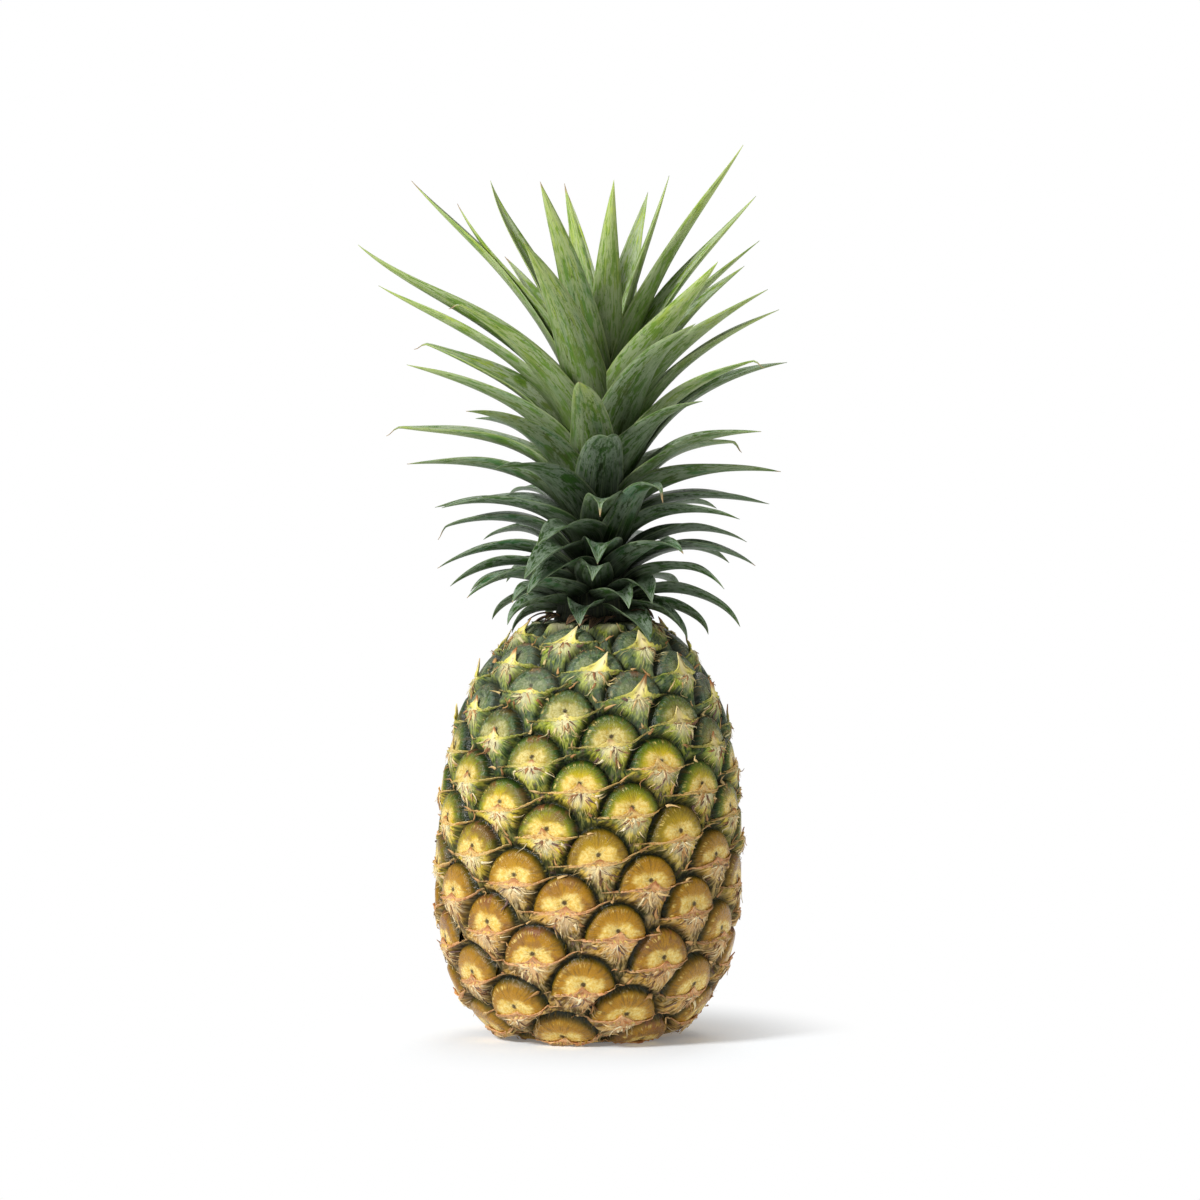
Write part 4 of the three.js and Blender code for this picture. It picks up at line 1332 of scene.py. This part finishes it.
class FruitSettings(bpy.types.PropertyGroup):
    """Sizes and colours of the rind."""

    cell_steps: bpy.props.IntProperty(
        name="Rind fineness", description="Grid steps along each side of an eye's cell", default=25, min=6, max=25)
    # The groove colour is painted shade, laid where the groove mask is deep
    groove_shade_color: bpy.props.FloatVectorProperty(
        name="Groove colour", description="Colour deep between the eyes", subtype="COLOR", size=3,
        default=(0.006, 0.013, 0.003), min=0, max=1)
    green_side: bpy.props.FloatProperty(
        name="Green side", description="How much less ripe the eyes are on the side away from the sun", default=0.12,
        min=0, max=0.5)
    bract_thickness: bpy.props.FloatProperty(
        name="Bract thickness", description="Thickness of the papery bracts", default=0.00035, unit="LENGTH",
        precision=5)
    flakes_per_eye: bpy.props.IntProperty(
        name="Flakes for each eye", description="Torn flakes on the fan under each eye", default=14, min=0, max=30)
    hairs_per_eye: bpy.props.IntProperty(
        name="Hairs for each eye", description="Pale hairs on the fan under each eye", default=14, min=0, max=30)
    hair_width: bpy.props.FloatProperty(
        name="Hair width", description="Width of a hair at its foot", default=0.00018, unit="LENGTH", precision=5)


class CrownSettings(bpy.types.PropertyGroup):
    """Sizes of the crown."""

    leaf_columns: bpy.props.IntProperty(
        name="Leaf columns", description="Grid steps across each leaf", default=8, min=2, max=16)
    leaf_rows: bpy.props.IntProperty(
        name="Leaf rows", description="Grid steps along each leaf", default=36, min=8, max=60)
    leaf_thickness: bpy.props.FloatProperty(
        name="Leaf thickness", description="Thickness of each blade", default=0.0009, unit="LENGTH", precision=4)
    neck_scraps: bpy.props.IntProperty(
        name="Neck scraps", description="Withered bracts around the neck", default=18, min=0, max=80)


class StageSettings(bpy.types.PropertyGroup):
    """Camera and lights."""

    view_width: bpy.props.FloatProperty(
        name="View width", description="Width that the picture takes in at the fruit", default=0.4716, unit="LENGTH")
    camera_distance: bpy.props.FloatProperty(
        name="Camera distance", description="From the camera to the fruit", default=1.8, unit="LENGTH")
    camera_rise: bpy.props.FloatProperty(
        name="Camera elevation", description="Angle of the camera above the horizon", default=math.radians(2.5),
        subtype="ANGLE")
    aim_across: bpy.props.FloatProperty(
        name="Aim across", description="Point in the middle of the picture, to the right", default=0.0059,
        unit="LENGTH")
    aim_height: bpy.props.FloatProperty(
        name="Aim height", description="Point in the middle of the picture, above the floor", default=0.1716,
        unit="LENGTH")
    key_power: bpy.props.FloatProperty(
        name="Key light", description="Power of the key light", default=43, unit="POWER")
    fill_power: bpy.props.FloatProperty(
        name="Fill light", description="Power of the fill light", default=2, unit="POWER")
    back_power: bpy.props.FloatProperty(
        name="Back light", description="Power of the light behind", default=12, unit="POWER")
    surround: bpy.props.FloatProperty(
        name="Surround", description="How strongly the pale studio around lights the fruit", default=0.28, min=0)


materials = {}


class PINEAPPLE_OT_materials(bpy.types.Operator):
    """Make the materials that all pieces share"""

    bl_idname = "pineapple.materials"
    bl_label = "Make materials"

    def execute(self, context):
        fibres = fibre_group()
        bloom = bloom_group()
        materials["rind"] = rind_material(context.scene.pineapple_fruit, fibres, bloom)
        materials["bract"] = bract_material(fibres)
        materials["flake"] = flake_material(fibres)
        materials["leaf_upper"] = leaf_material("leaf, upper side", fibres, bloom, False)
        materials["leaf_under"] = leaf_material("leaf, underside", fibres, bloom, True)
        materials["stem"] = stem_material(fibres)
        materials["scrap"] = scrap_material(fibres)
        materials["stalk"] = cut_stalk_material()
        return {"FINISHED"}


class PINEAPPLE_OT_rind(bpy.types.Operator):
    """Lay the rind's eyes over the fruit"""

    bl_idname = "pineapple.rind"
    bl_label = "Build rind"

    def execute(self, context):
        build_rind(context.scene.pineapple_fruit, materials)
        return {"FINISHED"}


class PINEAPPLE_OT_bracts(bpy.types.Operator):
    """Add a papery bract to each eye, and the dry points at its ends"""

    bl_idname = "pineapple.bracts"
    bl_label = "Build bracts"

    def execute(self, context):
        build_bracts(context.scene.pineapple_fruit, materials)
        build_corner_scraps(materials)
        return {"FINISHED"}


class PINEAPPLE_OT_down(bpy.types.Operator):
    """Add the torn flakes and pale hairs of the rind"""

    bl_idname = "pineapple.down"
    bl_label = "Build flakes and hairs"

    def execute(self, context):
        build_flakes(context.scene.pineapple_fruit, materials)
        build_down(context.scene.pineapple_fruit, materials)
        return {"FINISHED"}


class PINEAPPLE_OT_crown(bpy.types.Operator):
    """Build the crown's leaves and the stem that they grow from"""

    bl_idname = "pineapple.crown"
    bl_label = "Build crown"

    def execute(self, context):
        build_leaves(context.scene.pineapple_crown, materials)
        build_stem(materials)
        return {"FINISHED"}


class PINEAPPLE_OT_scraps(bpy.types.Operator):
    """Add the withered bracts at the neck"""

    bl_idname = "pineapple.scraps"
    bl_label = "Build neck scraps"

    def execute(self, context):
        build_scraps(context.scene.pineapple_crown, materials)
        return {"FINISHED"}


class PINEAPPLE_OT_stalk(bpy.types.Operator):
    """Finish the cut end of the stalk under the fruit"""

    bl_idname = "pineapple.stalk"
    bl_label = "Finish stalk end"

    def execute(self, context):
        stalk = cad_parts["stalk_end"]
        if not stalk.material_slots:
            stalk.data.materials.append(materials["stalk"])
        for slot in stalk.material_slots:
            slot.material = materials["stalk"]
        return {"FINISHED"}


class PINEAPPLE_OT_stage(bpy.types.Operator):
    """Set up the floor, the lights and the camera"""

    bl_idname = "pineapple.stage"
    bl_label = "Set up stage"

    def execute(self, context):
        build_stage(context.scene.pineapple_stage)
        return {"FINISHED"}


OPERATORS = (
    PINEAPPLE_OT_materials, PINEAPPLE_OT_rind, PINEAPPLE_OT_bracts, PINEAPPLE_OT_down, PINEAPPLE_OT_crown,
    PINEAPPLE_OT_scraps, PINEAPPLE_OT_stalk, PINEAPPLE_OT_stage,
)


class PINEAPPLE_PT_panel(bpy.types.Panel):
    """Lists the steps that build the pineapple"""

    bl_idname = "PINEAPPLE_PT_panel"
    bl_label = "Pineapple"
    bl_space_type = "VIEW_3D"
    bl_region_type = "UI"
    bl_category = "Pineapple"

    def draw(self, context):
        for operator in OPERATORS:
            self.layout.operator(operator.bl_idname)
        for group in (context.scene.pineapple_fruit, context.scene.pineapple_crown, context.scene.pineapple_stage):
            for name in group.bl_rna.properties.keys():
                if name not in ("rna_type", "name"):
                    self.layout.prop(group, name)


CLASSES = (FruitSettings, CrownSettings, StageSettings, *OPERATORS, PINEAPPLE_PT_panel)


def register():
    for cls in CLASSES:
        bpy.utils.register_class(cls)
    bpy.types.Scene.pineapple_fruit = bpy.props.PointerProperty(type=FruitSettings)
    bpy.types.Scene.pineapple_crown = bpy.props.PointerProperty(type=CrownSettings)
    bpy.types.Scene.pineapple_stage = bpy.props.PointerProperty(type=StageSettings)


def unregister():
    del bpy.types.Scene.pineapple_stage
    del bpy.types.Scene.pineapple_crown
    del bpy.types.Scene.pineapple_fruit
    for cls in reversed(CLASSES):
        bpy.utils.unregister_class(cls)


def main():
    register()
    for operator in OPERATORS:
        group, name = operator.bl_idname.split(".")
        getattr(getattr(bpy.ops, group), name)()


if __name__ == "__main__":
    main()
